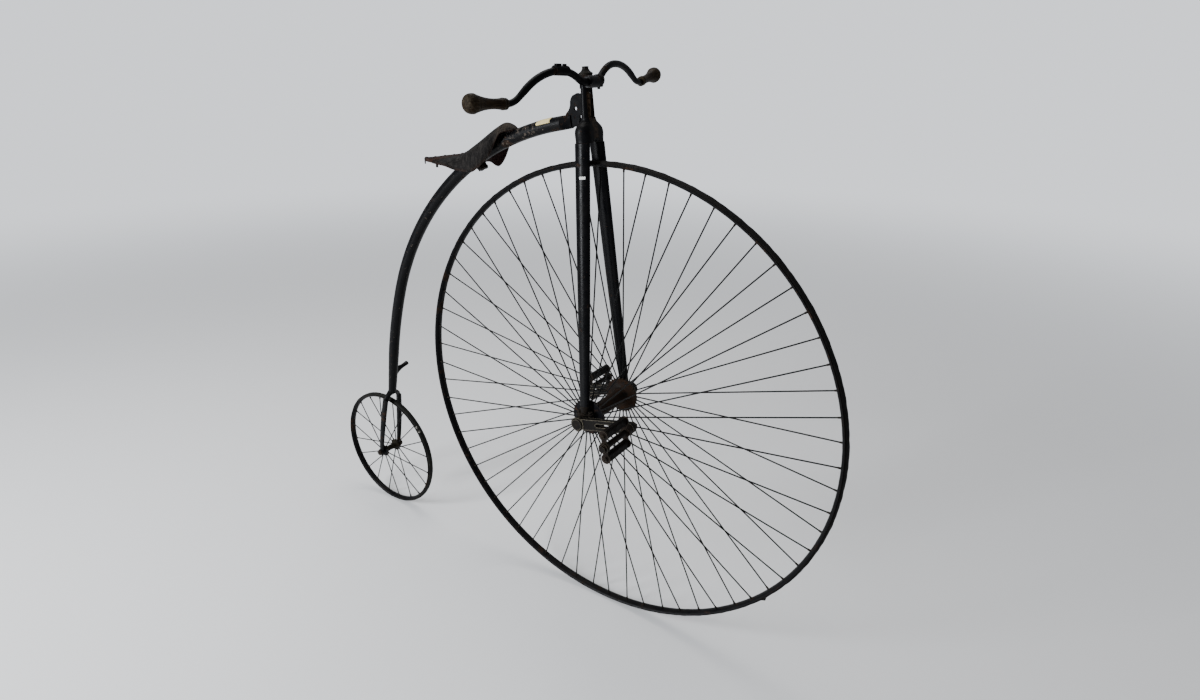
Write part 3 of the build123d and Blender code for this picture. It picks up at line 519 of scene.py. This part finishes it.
TIP_Y = 0.0015           # a tip's distance from the wheel's plane
COLLAR_UP = 0.0045       # a collar's foot, along the spoke from the spoke's own
HEAD_DOWN = 0.0095       # a head's foot, back along the spoke from its tip
COLLAR = ((-0.001, 0.0020), (0.0, 0.0026), (0.0025, 0.0026), (0.0035, 0.0019))
RIM_HEAD = ((0.0, 0.0019), (0.002, 0.0025), (0.0065, 0.0027), (0.009, 0.0027))
finish_nodes(wire_steel("front spoke steel", (0.0008, 0.0008, 0.0009, 1),
                        (0.0045, 0.0032, 0.0025, 1), 0.62), "front_spokes")
finish_nodes(wire_steel("rear spoke steel", (0.0009, 0.0007, 0.0006, 1),
                        (0.0050, 0.0030, 0.0020, 1), 0.56), "rear_spokes")
collar_steel = rusty_iron("spoke collar steel", DARK_IRON, (0.0125, 0.0082, 0.0056, 1))
for wheel_node, body, count, start_degrees, flange_r, flange_y, tip_r in (
        ("front_tyre", "front_wheel", 64, 1.6, 0.0445, 0.081, 0.6353),
        ("rear_tyre", "rear_wheel", 20, -11.8, 0.0165, 0.026, 0.202)):
    feet, tips = spoke_lines(wheel_node, count, start_degrees, flange_r, flange_y, tip_r)
    along = (tips - feet) / np.linalg.norm(tips - feet, axis=1, keepdims=True)
    for piece, profile, places in (("_spoke_collars", COLLAR, feet + along * COLLAR_UP),
                                   ("_spoke_heads", RIM_HEAD, tips - along * HEAD_DOWN)):
        turned(body + piece, profile, places, along, collar_steel, 8, body)

# ================================================================ rims
# Crescent-section rims, rolled from sheet iron and brazed, enamelled black.
# Rust has come through along their edges.
finish_nodes(black_enamel("rim enamel", 0.565, dust=0.35, gloss=0.36, edges=0.9),
             "front_rim", "rear_rim")


# ================================================================ tyres
# Solid rubber cemented into the rims, more than a century old: worn flat, hard,
# crazed and lumpy where the cement has let go, with floor dust in the cracks.
def old_rubber(name, dark, light, scuff, chips=()):
    """Hardened rubber: clouds of two tones, fine cracks across, pale scuffs on the tread, and
    a chalky chip round each of the places in chips."""
    material, tree, shader = surface(name)
    place = object_place(tree)
    clouds = speckle(tree, place, 24.0, 0.35, 0.68, 7.0, 0.65)
    colour = blend(tree, clouds, dark, light)
    cells = node(tree, "TexVoronoi", {"feature": "DISTANCE_TO_EDGE"}, Vector=place, Scale=130.0)
    cracks = ramp(tree, cells.outputs["Distance"], 0.0, 0.06, 1.0, 0.0)
    colour = blend(tree, times(tree, cracks, 0.6), colour, (0.006, 0.005, 0.005, 1))
    scuffs = speckle(tree, place, 75.0, 0.62, 0.70, 8.0, 0.7)
    colour = blend(tree, times(tree, scuffs, 0.55), colour, scuff)
    colour = blend(tree, dust_share(tree, place, 0.3), colour, DUST)
    for chip in chips:
        away = vector_sum(tree, "DISTANCE", place, chip).outputs["Value"]
        chalk = times(tree, ramp(tree, away, 0.0050, 0.0022),
                      speckle(tree, place, 260.0, 0.44, 0.52))
        colour = blend(tree, chalk, colour, (0.42, 0.40, 0.36, 1))
    coat(tree, shader, colour, ramp(tree, clouds, 0.0, 1.0, 0.55, 0.8), 0.09)
    grain = node(tree, "TexNoise", None, Vector=place, Scale=350.0, Detail=4.0).outputs["Fac"]
    raised(tree, shader, calc(tree, "SUBTRACT", grain, cracks), 0.0005, 0.9)
    return material


def lumpy_tyre(name, wheel_node, middle_r, half_height, half_width, lumps, depth, material, body,
               torn=None):
    """A ring of oval section whose height swells with the turn u: height * (1 + depth * mean of
    the waves in lumps, each a count round the wheel and a phase). Point = centre
    + (middle_r + height cos v) outwards + width sin v. A torn sliver stands up from the right
    shoulder at the turn torn, falling off over half a degree."""
    centre = middle_of(wheel_node)
    turn, section = 600, 16
    u = (np.arange(turn) * 2 * math.pi / turn)[:, None]
    v = (np.arange(section) * 2 * math.pi / section)[None, :]
    wave = sum(np.sin(n * u + phase) for n, phase in lumps) / len(lumps)
    outer = np.clip(np.cos(v), 0, 1)
    height = half_height * (1 + depth * wave * outer)
    width = half_width * (1 + 0.5 * depth * wave)
    if torn is not None:
        sliver = np.exp(-((u - torn) / SLIVER_SPREAD)**2) * np.clip(np.cos(v + 0.7), 0, 1)**8
        height = height + SLIVER_HEIGHT * sliver
    radius = middle_r + height * np.cos(v)
    lean = 0.0008 * np.sin(7 * u + 1.0) * outer
    points = np.stack([centre[0] + radius * np.cos(u), centre[1] + width * np.sin(v) + lean,
                       centre[2] + radius * np.sin(u)], -1)
    i = np.arange(turn)[:, None] * section
    i_next = np.roll(i, -1)
    j = np.arange(section)[None, :]
    j_next = np.roll(j, -1)
    quads = np.stack([i + j, i_next + j, i_next + j_next, i + j_next], -1).reshape(-1, 4)
    tyre = smooth_mesh(name, points, quads.tolist(), material, 60.0)
    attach(tyre, body)
    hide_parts(wheel_node)


# the torn sliver on the front tyre, and two chalky chips on the rear one
SLIVER_HEIGHT = 0.0085
SLIVER_SPREAD = 0.008    # in radians of the wheel's turn
SLIVER_TURN = math.radians(319.8)
CHIP_TURNS = np.radians([34.5, 39.0])
CHIP_R = 0.2125          # the chips' distance from the rear wheel's centre
CHIP_RIGHT = 0.006       # and from its plane
FRONT_LUMPS = ((23, 0.4), (61, 1.9), (97, 4.2), (150, 2.6))
REAR_LUMPS = ((5, 0.9), (13, 2.2), (31, 4.0))
front_rubber = old_rubber("front tyre rubber", (0.0019, 0.0018, 0.0018, 1),
                          (0.0060, 0.0053, 0.0046, 1), (0.034, 0.028, 0.022, 1))
chip_out = np.stack([np.cos(CHIP_TURNS), 0 * CHIP_TURNS, np.sin(CHIP_TURNS)], 1)
rear_chips = middle_of("rear_tyre") + CHIP_R * chip_out - CHIP_RIGHT * LEFT
rear_rubber = old_rubber("rear tyre rubber", (0.0040, 0.0042, 0.0038, 1),
                         (0.0140, 0.0142, 0.0118, 1), (0.080, 0.078, 0.068, 1),
                         rear_chips.tolist())
lumpy_tyre("front_tyre_rubber", "front_tyre", middle_r=0.6420, half_height=0.0066,
           half_width=0.0110, lumps=FRONT_LUMPS, depth=0.14, material=front_rubber,
           body="front_wheel", torn=SLIVER_TURN)
lumpy_tyre("rear_tyre_rubber", "rear_tyre", middle_r=0.2089, half_height=0.0062,
           half_width=0.0090, lumps=REAR_LUMPS, depth=0.07, material=rear_rubber,
           body="rear_wheel")

# ================================================================ crank fastenings
# A round lock ring holds each crank on its axle end, whose domed face shows in
# the middle, and a tapered cotter with its nut goes through the crank's boss.
LOCK_RING = ((0.0, 0.0092), (0.0, 0.0142), (0.0010, 0.0150), (0.0026, 0.0150),
             (0.0036, 0.0140), (0.0036, 0.0092))
AXLE_DOME = ((0.0, 0.0088), (0.0012, 0.0082), (0.0020, 0.0055), (0.0024, 0.0010))
COTTER = ((-0.0245, 0.0022), (-0.0235, 0.0034), (-0.0195, 0.0036), (-0.0195, 0.0068),
          (-0.0185, 0.0072), (-0.0175, 0.0042), (0.0175, 0.0042), (0.0185, 0.0048),
          (0.0215, 0.0046), (0.0225, 0.0030))
RING_Y, DOME_Y, COTTER_Y = 0.1364, 0.1378, 0.1290     # from the wheel's plane
COTTER_LEAN = (-0.208, 0.978)                         # its way, fore and up, on the left side
SIDES = (("right", -1.0), ("left", 1.0))
for hand, side in SIDES:
    turned("crank_lock_ring_" + hand, LOCK_RING, WHEEL_CENTRE + LEFT * side * RING_Y,
           LEFT * side, crank_iron_with_painted_edge_highlight, 32, "front_wheel")
    turned("axle_dome_" + hand, AXLE_DOME, WHEEL_CENTRE + LEFT * side * DOME_Y,
           LEFT * side, pin_iron, 24, "front_wheel")
    turned("crank_cotter_" + hand, COTTER, WHEEL_CENTRE + LEFT * side * COTTER_Y,
           (COTTER_LEAN[0] * side, 0.0, COTTER_LEAN[1]), pin_iron, 14, "front_wheel")


# ================================================================ pedals
# Two moulded rubber blocks between iron end plates. The blocks are browned and
# worn shiny, with cast grooves across; the plates' edges are rubbed pale.
def pedal_rubber(name):
    """Brown-black rubber with grooves a few millimetres apart along the pedal."""
    material, tree, shader = surface(name)
    place = object_place(tree)
    clouds = speckle(tree, place, 60.0, 0.35, 0.65, 6.0)
    grooves = node(tree, "TexWave", {"bands_direction": "Y", "wave_profile": "SIN"},
                   Vector=place, Scale=55.0, Distortion=1.0)
    pressed = ramp(tree, grooves.outputs["Fac"], 0.15, 0.5)
    colour = blend(tree, clouds, (0.0019, 0.0013, 0.0011, 1), (0.0058, 0.0031, 0.0019, 1))
    colour = blend(tree, pressed, (0.0014, 0.0012, 0.0011, 1), colour)
    colour = blend(tree, times(tree, worn_edge(tree, 0.002), 0.5), colour,
                   (0.024, 0.0165, 0.0125, 1))
    coat(tree, shader, colour, ramp(tree, clouds, 0.0, 1.0, 0.42, 0.7), 0.07)
    raised(tree, shader, pressed, 0.0008, 0.9)
    return material


finish_nodes(pedal_rubber("pedal rubber"), "pedal_blocks_right", "pedal_blocks_left")
plate_iron = rusty_iron("pedal plate iron", (0.0036, 0.0027, 0.0021, 1),
                        (0.0135, 0.0076, 0.0044, 1), edge=(0.105, 0.090, 0.066, 1),
                        edge_share=0.9, rough=0.45)
finish_nodes(plate_iron, "pedal_cage_right", "pedal_cage_left")
PLATE_NUT = ((0.0, 0.0058), (0.0036, 0.0058), (0.0042, 0.0052), (0.0042, 0.0028),
             (0.0058, 0.0028), (0.0064, 0.0016))
BOLT_HEAD = ((0.0, 0.0046), (0.0026, 0.0042), (0.0036, 0.0022))
PEDAL_LEAN = math.radians(7.4)
PEDAL_UP = np.array([-math.sin(PEDAL_LEAN), 0.0, math.cos(PEDAL_LEAN)])
BOLT_OFF = 0.0295        # a block's bolt, from the pedal's pin
NUT_Y = 0.246            # the nuts' feet, from the wheel's plane
HEAD_IN = 0.0952         # the bolt heads' feet, inwards from the nuts'
for hand, side in SIDES:
    pin_middle = middle_of("pedal_pin_" + hand) * (1, 0, 1)
    feet = np.array([pin_middle + PEDAL_UP * off + LEFT * side * NUT_Y
                     for off in (-BOLT_OFF, BOLT_OFF)])
    turned("pedal_plate_nuts_" + hand, PLATE_NUT, feet, [LEFT * side] * 2,
           plate_iron, 6, "pedal_" + hand)
    turned("pedal_bolt_heads_" + hand, BOLT_HEAD, feet - LEFT * side * HEAD_IN,
           [-LEFT * side] * 2, plate_iron, 14, "pedal_" + hand)


# ================================================================ handles
# Pear-shaped handles, turned in hardwood and once varnished. The varnish has
# gone grey and speckled on the bulb and stays red-brown in the waist.
def handle_wood(name, node_name, ferrule_name):
    """Grain stretched along the handle, greyed towards its outer end."""
    inner = middle_of(ferrule_name)
    along = middle_of(node_name) - inner
    along = along / np.linalg.norm(along)
    material, tree, shader = surface(name)
    # texture mapping takes a point back to the handle's own axes: x along it
    mapping = node(tree, "Mapping", {"vector_type": "TEXTURE"}, Vector=object_place(tree))
    mapping.inputs["Location"].default_value = Vector(inner)
    turn = Vector((1, 0, 0)).rotation_difference(Vector(along))
    mapping.inputs["Rotation"].default_value = turn.to_euler()
    own = mapping.outputs["Vector"]
    stretched = vector_sum(tree, "MULTIPLY", own, (0.12, 1.0, 1.0)).outputs["Vector"]
    grain = speckle(tree, stretched, 260.0, 0.35, 0.68, 6.0)
    bulb = ramp(tree, part_of(tree, own, "X"), 0.045, 0.085)
    colour = blend(tree, grain, (0.0060, 0.0034, 0.0014, 1), (0.0215, 0.0125, 0.0050, 1))
    greyed = blend(tree, grain, (0.0090, 0.0058, 0.0028, 1), (0.040, 0.031, 0.0195, 1))
    worn = times(tree, bulb, speckle(tree, own, 90.0, 0.42, 0.56, 9.0, 0.75))
    colour = blend(tree, worn, colour, greyed)
    colour = blend(tree, speckle(tree, own, 190.0, 0.63, 0.68), colour,
                   (0.0028, 0.0020, 0.0016, 1))
    coat(tree, shader, colour, ramp(tree, worn, 0.0, 1.0, 0.34, 0.62), 0.055)
    raised(tree, shader, calc(tree, "SUBTRACT", grain, worn), 0.0003, 0.7)
    return material


for hand, side in SIDES:
    finish_nodes(handle_wood("handle wood " + hand, "grip_" + hand, "grip_ferrule_" + hand),
                 "grip_" + hand)
finish_nodes(rusty_iron("ferrule brass", (0.0095, 0.0068, 0.0038, 1), (0.0270, 0.0190, 0.0100, 1),
                        edge=(0.085, 0.064, 0.038, 1), edge_share=0.6, rough=0.4),
             "grip_ferrule_right", "grip_ferrule_left")


# ================================================================ tape and tag
# A strip of yellowed tape lies over the backbone behind the head, and a blank
# white paper tag is stuck on the right fork leg.
def paper(name, colour, stain):
    """Old paper: one pale colour, clouded and dirtied towards a second."""
    material, tree, shader = surface(name)
    dirt = speckle(tree, object_place(tree), 150.0, 0.45, 0.75, 8.0, 0.7)
    tree.links.new(blend(tree, dirt, colour, stain), shader.inputs["Base Color"])
    shader.inputs["Roughness"].default_value = 0.75
    raised(tree, shader, dirt, 0.0002, 0.5)
    return material


def grid_faces(rows, columns):
    """The four-sided faces of a grid of points numbered row by row."""
    i = np.arange(rows - 1)[:, None] * columns
    j = np.arange(columns - 1)[None, :]
    return np.stack([i + j, i + j + 1, i + columns + j + 1, i + columns + j], -1).reshape(-1, 4)


def wrapped_patch(name, points, thickness, material, body):
    """A grid of points (rows by columns) lying on a tube, given a wall outwards."""
    patch = smooth_mesh(name, points, grid_faces(*points.shape[:2]).tolist(), material, 60.0)
    wall = patch.modifiers.new("wall", "SOLIDIFY")
    wall.thickness = thickness
    wall.offset = 1.0
    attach(patch, body)


BACKBONE_R = 0.017
ARC_R = 0.8547
ARC_START = math.radians(189.1)
ARC_FOOT = np.array([-0.1314, 0.7301])     # its beginning, fore and up from the wheel's centre
STUCK_GAP = 0.0002
TAPE_ALONG = (0.027, 0.071)
TAPE_ROUND = (-72, 40)                     # degrees from the top, to the right and left


def backbone_point(s, a):
    """Point on the backbone's first arc, s metres along it and turned a round it from the top:
    middle line by the arc's heading, plus the tube's radius along cos a up and sin a to the
    left."""
    heading = ARC_START + s / ARC_R
    centre = ARC_FOOT + ARC_R * np.array([-math.sin(ARC_START), math.cos(ARC_START)])
    outward = np.stack([np.sin(heading), -np.cos(heading)], -1)
    middle = centre + ARC_R * outward
    radius = BACKBONE_R + STUCK_GAP
    x = middle[..., 0] + radius * np.cos(a) * outward[..., 0]
    z = middle[..., 1] + radius * np.cos(a) * outward[..., 1]
    y = np.broadcast_to(radius * np.sin(a), x.shape)
    return np.stack([WHEEL_CENTRE[0] + x, y, WHEEL_CENTRE[2] + z], -1)


s = np.linspace(*TAPE_ALONG, 12)[:, None]
a = np.radians(np.linspace(*TAPE_ROUND, 15))[None, :]
ragged = s + 0.002 * np.sin(a * 5.0)
wrapped_patch("backbone_tape", backbone_point(ragged, a), 0.0004,
              paper("yellowed tape", (0.60, 0.49, 0.22, 1), (0.36, 0.29, 0.14, 1)), "frame")

# the leg tapers and spreads from its top, 0.690 above the wheel's centre
TAG_HEIGHTS = (0.6085, 0.6150)
TAG_ROUND = (-24, 24)
TAG_TURN = 0.35                            # the tag's middle, forward round the leg
TAG_GAP = 0.0005
height = np.linspace(*TAG_HEIGHTS, 5)[:, None]
a = np.radians(np.linspace(*TAG_ROUND, 11))[None, :] + TAG_TURN
lower = (0.690 - height) / 0.320
leg_y = -(0.031 + 0.032 * lower)
half_fore = (0.041 - 0.004 * lower) / 2 + TAG_GAP
half_side = (0.024 - 0.0025 * lower) / 2 + TAG_GAP
fore = half_fore * np.sin(a)
aside = leg_y - half_side * np.cos(a)
tag_points = (WHEEL_CENTRE + height[..., None] * AXIS_UP + fore[..., None] * AXIS_FORE
              + aside[..., None] * LEFT)
wrapped_patch("leg_tag", tag_points, 0.0003,
              paper("white tag", (0.78, 0.78, 0.76, 1), (0.55, 0.53, 0.50, 1)), "steering")

# ================================================================ saddle leather
# One hide, wetted and pulled over the spring from the nose to the plate at its
# tail, with deep side flaps. It has dried hard, and cracked and curled.

# place forward of the wheel's centre, height of the ridge, half width, drop of the
# right flap and of the left one, in millimetres
SADDLE_STATIONS = np.array((
    (-277.0, 711.0, 3.0, 1.5, 1.5),
    (-284.0, 715.5, 14.0, 6.0, 6.0),
    (-298.0, 722.0, 26.0, 15.5, 15.0),
    (-313.0, 724.8, 32.0, 27.0, 24.0),
    (-328.0, 718.6, 33.0, 42.0, 38.0),
    (-345.0, 708.5, 40.0, 65.0, 56.0),
    (-370.0, 692.5, 46.5, 77.0, 75.0),
    (-393.0, 678.0, 51.0, 77.0, 73.0),
    (-420.0, 662.5, 55.5, 65.0, 50.0),
    (-443.0, 649.7, 60.0, 49.0, 35.0),
    (-493.5, 628.5, 70.0, 14.0, 12.0),
    (-525.0, 628.8, 74.5, 5.0, 5.0),
    (-543.0, 629.2, 75.0, 1.5, 1.5),
    (-550.0, 627.4, 73.0, 1.5, 1.5),
    (-552.0, 622.5, 70.5, 1.5, 1.5))) / 1000.0
HIDE_ROWS, HIDE_COLUMNS = 121, 49
HIDE_T = 0.0042
TAIL_FROM, TAIL_LENGTH = -0.503, 0.036     # where the hide begins to take its tail's form
FOLD_FROM = 0.86                           # share of the half width where the fold begins
FOLD_DROP = 0.013
TAIL_TURN_UP = 0.0035
CURL = 0.0025
WAVE = 0.0012


def smooth_rows(table, count):
    """The table's columns drawn through its rows as a smooth curve (each stretch a cubic whose
    slopes are those of the rows on either side)."""
    slope = np.gradient(table, axis=0)
    t = np.linspace(0, len(table) - 1, count)
    i = np.minimum(t.astype(int), len(table) - 2)
    f = (t - i)[:, None]
    return ((2 * f**3 - 3 * f**2 + 1) * table[i] + (f**3 - 2 * f**2 + f) * slope[i]
            + (3 * f**2 - 2 * f**3) * table[i + 1] + (f**3 - f**2) * slope[i + 1])


def hide_surface(across, rows, lift):
    """Across runs from -1 to 1 over an arc of a circle from the ridge to each flap's edge:
    y = r sin a, z = ridge - r (1 - cos a), with r = (w*w + d*d) / 2d; lift moves it inwards.
    Towards the tail the edge turns up a little and its last seventh folds straight down."""
    across = across[None, :]
    hand = np.sign(across)
    out = np.abs(across)
    x, ridge, w = (rows[:, k:k + 1] for k in range(3))
    d = np.where(across < 0, rows[:, 3:4], rows[:, 4:5])
    tail = np.clip((TAIL_FROM - x) / TAIL_LENGTH, 0, 1)
    tail = tail * tail * (3 - 2 * tail)
    spread = hand * ((1 - tail) * out + tail * np.minimum(out / FOLD_FROM, 1.0))
    fold = tail * np.clip((out - FOLD_FROM) / (1 - FOLD_FROM), 0, 1)
    r = (w**2 + d**2) / (2 * d)
    a = spread * np.arctan2(w, r - d)
    curl = CURL * (1 - tail) * np.clip(out - 0.8, 0, 1) * np.sin(90 * x + 2 * across)
    y = (r - lift) * np.sin(a) + curl * hand - lift * fold * hand
    z = ridge - r + (r - lift * (1 - fold)) * np.cos(a)
    z = z - WAVE * np.sin(114 * x + 3 * across) * out**2
    z = z + tail * TAIL_TURN_UP * out**4 - FOLD_DROP * fold
    x = np.broadcast_to(x, y.shape)
    return np.stack([WHEEL_CENTRE[0] + x, y, WHEEL_CENTRE[2] + z], -1)


def saddle_hide_leather(name):
    """Dry hide: grey-brown, wrinkled along the flaps with the wrinkles' ridges painted lighter,
    partly grey leather and partly a painted highlight; bleached at the nose, red-brown where the
    edge and tail have rubbed and on its inner face."""
    material, tree, shader = surface(name)
    place = object_place(tree)
    map_uv = node(tree, "UVMap", {"uv_map": "hide"}).outputs["UV"]
    clouds = speckle(tree, place, 34.0, 0.34, 0.68, 8.0, 0.68)
    fine = speckle(tree, place, 230.0, 0.4, 0.68, 5.0)
    colour = blend(tree, clouds, (0.0026, 0.0023, 0.0022, 1), (0.0085, 0.0074, 0.0068, 1))
    colour = blend(tree, times(tree, fine, 0.25), colour, (0.015, 0.0130, 0.0114, 1))
    drawn_out = vector_sum(tree, "MULTIPLY", map_uv, (7.0, 30.0, 1.0)).outputs["Vector"]
    wrinkles = node(tree, "TexNoise", None, Vector=drawn_out, Scale=1.6, Detail=7.0).outputs["Fac"]
    # painted highlight: the wrinkles' ridges are lighter grey, partly the leather's own tone
    colour = blend(tree, ramp(tree, wrinkles, 0.46, 0.66, 0.0, 0.8), colour,
                   (0.024, 0.0210, 0.0185, 1))
    off_ridge = calc(tree, "ABSOLUTE", calc(tree, "SUBTRACT", part_of(tree, map_uv, "X"), 0.5))
    edge = ramp(tree, off_ridge, 0.455, 0.5)
    fore = part_of(tree, place, "X")
    tail = ramp(tree, fore, WHEEL_CENTRE[0] - 0.508, WHEEL_CENTRE[0] - 0.524)
    nose = ramp(tree, fore, WHEEL_CENTRE[0] - 0.332, WHEEL_CENTRE[0] - 0.318)
    rubbed = times(tree, larger(tree, times(tree, edge, 0.45), tail),
                   speckle(tree, place, 70.0, 0.36, 0.6))
    colour = blend(tree, times(tree, rubbed, 0.85), colour, (0.040, 0.0165, 0.0100, 1))
    bleached = times(tree, nose, speckle(tree, place, 60.0, 0.34, 0.55))
    colour = blend(tree, times(tree, bleached, 0.75), colour, (0.036, 0.0275, 0.0195, 1))
    inner = node(tree, "Attribute", {"attribute_name": "inner_face"}).outputs["Fac"]
    colour = blend(tree, inner, colour, (0.0165, 0.0056, 0.0046, 1))
    coat(tree, shader, colour, ramp(tree, clouds, 0.0, 1.0, 0.46, 0.72), 0.08)
    cells = node(tree, "TexVoronoi", {"feature": "DISTANCE_TO_EDGE"}, Vector=place, Scale=330.0)
    grain = ramp(tree, cells.outputs["Distance"], 0.0, 0.12)
    height = calc(tree, "ADD", times(tree, wrinkles, 0.8), times(tree, grain, 0.18))
    raised(tree, shader, height, 0.0020)
    return material


rows = smooth_rows(SADDLE_STATIONS, HIDE_ROWS)
across = np.linspace(-1, 1, HIDE_COLUMNS)
outer = hide_surface(across, rows, 0.0)
inner = hide_surface(across, rows, HIDE_T)
m, n = HIDE_ROWS, HIDE_COLUMNS
top = grid_faces(m, n)
bottom = top[:, ::-1] + m * n
edge_loop = np.concatenate([np.arange(n - 1), n - 1 + n * np.arange(m - 1),
                            (m - 1) * n + np.arange(n - 1, 0, -1), n * np.arange(m - 1, 0, -1)])
edge_next = np.roll(edge_loop, -1)
sides = np.stack([edge_next, edge_loop, edge_loop + m * n, edge_next + m * n], -1)
hide = smooth_mesh("saddle_hide", np.concatenate([outer.reshape(-1, 3), inner.reshape(-1, 3)]),
                   np.concatenate([top, bottom, sides]).tolist(),
                   saddle_hide_leather("saddle leather"), 50.0)
uv = np.stack(np.meshgrid(across / 2 + 0.5, np.linspace(0, 1, m)), -1).reshape(-1, 2)
uv = np.concatenate([uv, uv])
loop_vertex = np.zeros(len(hide.data.loops), int)
hide.data.loops.foreach_get("vertex_index", loop_vertex)
hide.data.uv_layers.new(name="hide").data.foreach_set("uv", uv[loop_vertex].ravel())
inner_face = hide.data.attributes.new("inner_face", "FLOAT", "POINT")
inner_face.data.foreach_set("value", np.repeat([0.0, 1.0], m * n))
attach(hide, "frame")
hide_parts("saddle_leather")

# ================================================================ saddle fastenings
# Rivets with low domed heads hold the hide to the plate at its tail and to the
# spring's end at its nose.
RIVET = ((-0.001, 0.0036), (0.0002, 0.0037), (0.0007, 0.0028), (0.0010, 0.0014), (0.0011, 0.0003))
TAIL_ROW, TAIL_COLUMNS = HIDE_ROWS - 16, (5, 14, 24, 34, 43)
NOSE_ROW, NOSE_COLUMNS = 3, (14, 34)


def on_hide(row, column):
    """Point and upward normal of the hide's outer grid, from the cross of its two steps."""
    point = outer[row, column]
    step_along = outer[row + 1, column] - outer[row - 1, column]
    step_across = outer[row, column + 1] - outer[row, column - 1]
    normal = np.cross(step_across, step_along)
    normal /= np.linalg.norm(normal)
    return point, normal * np.sign(normal[2])


rivet_iron = rusty_iron("saddle rivets", (0.0110, 0.0075, 0.0056, 1), (0.030, 0.0180, 0.0115, 1))
points, normals = zip(*([on_hide(TAIL_ROW, column) for column in TAIL_COLUMNS]
                        + [on_hide(NOSE_ROW, column) for column in NOSE_COLUMNS]))
turned("saddle_rivets", RIVET, points, normals, rivet_iron, 14, "frame")
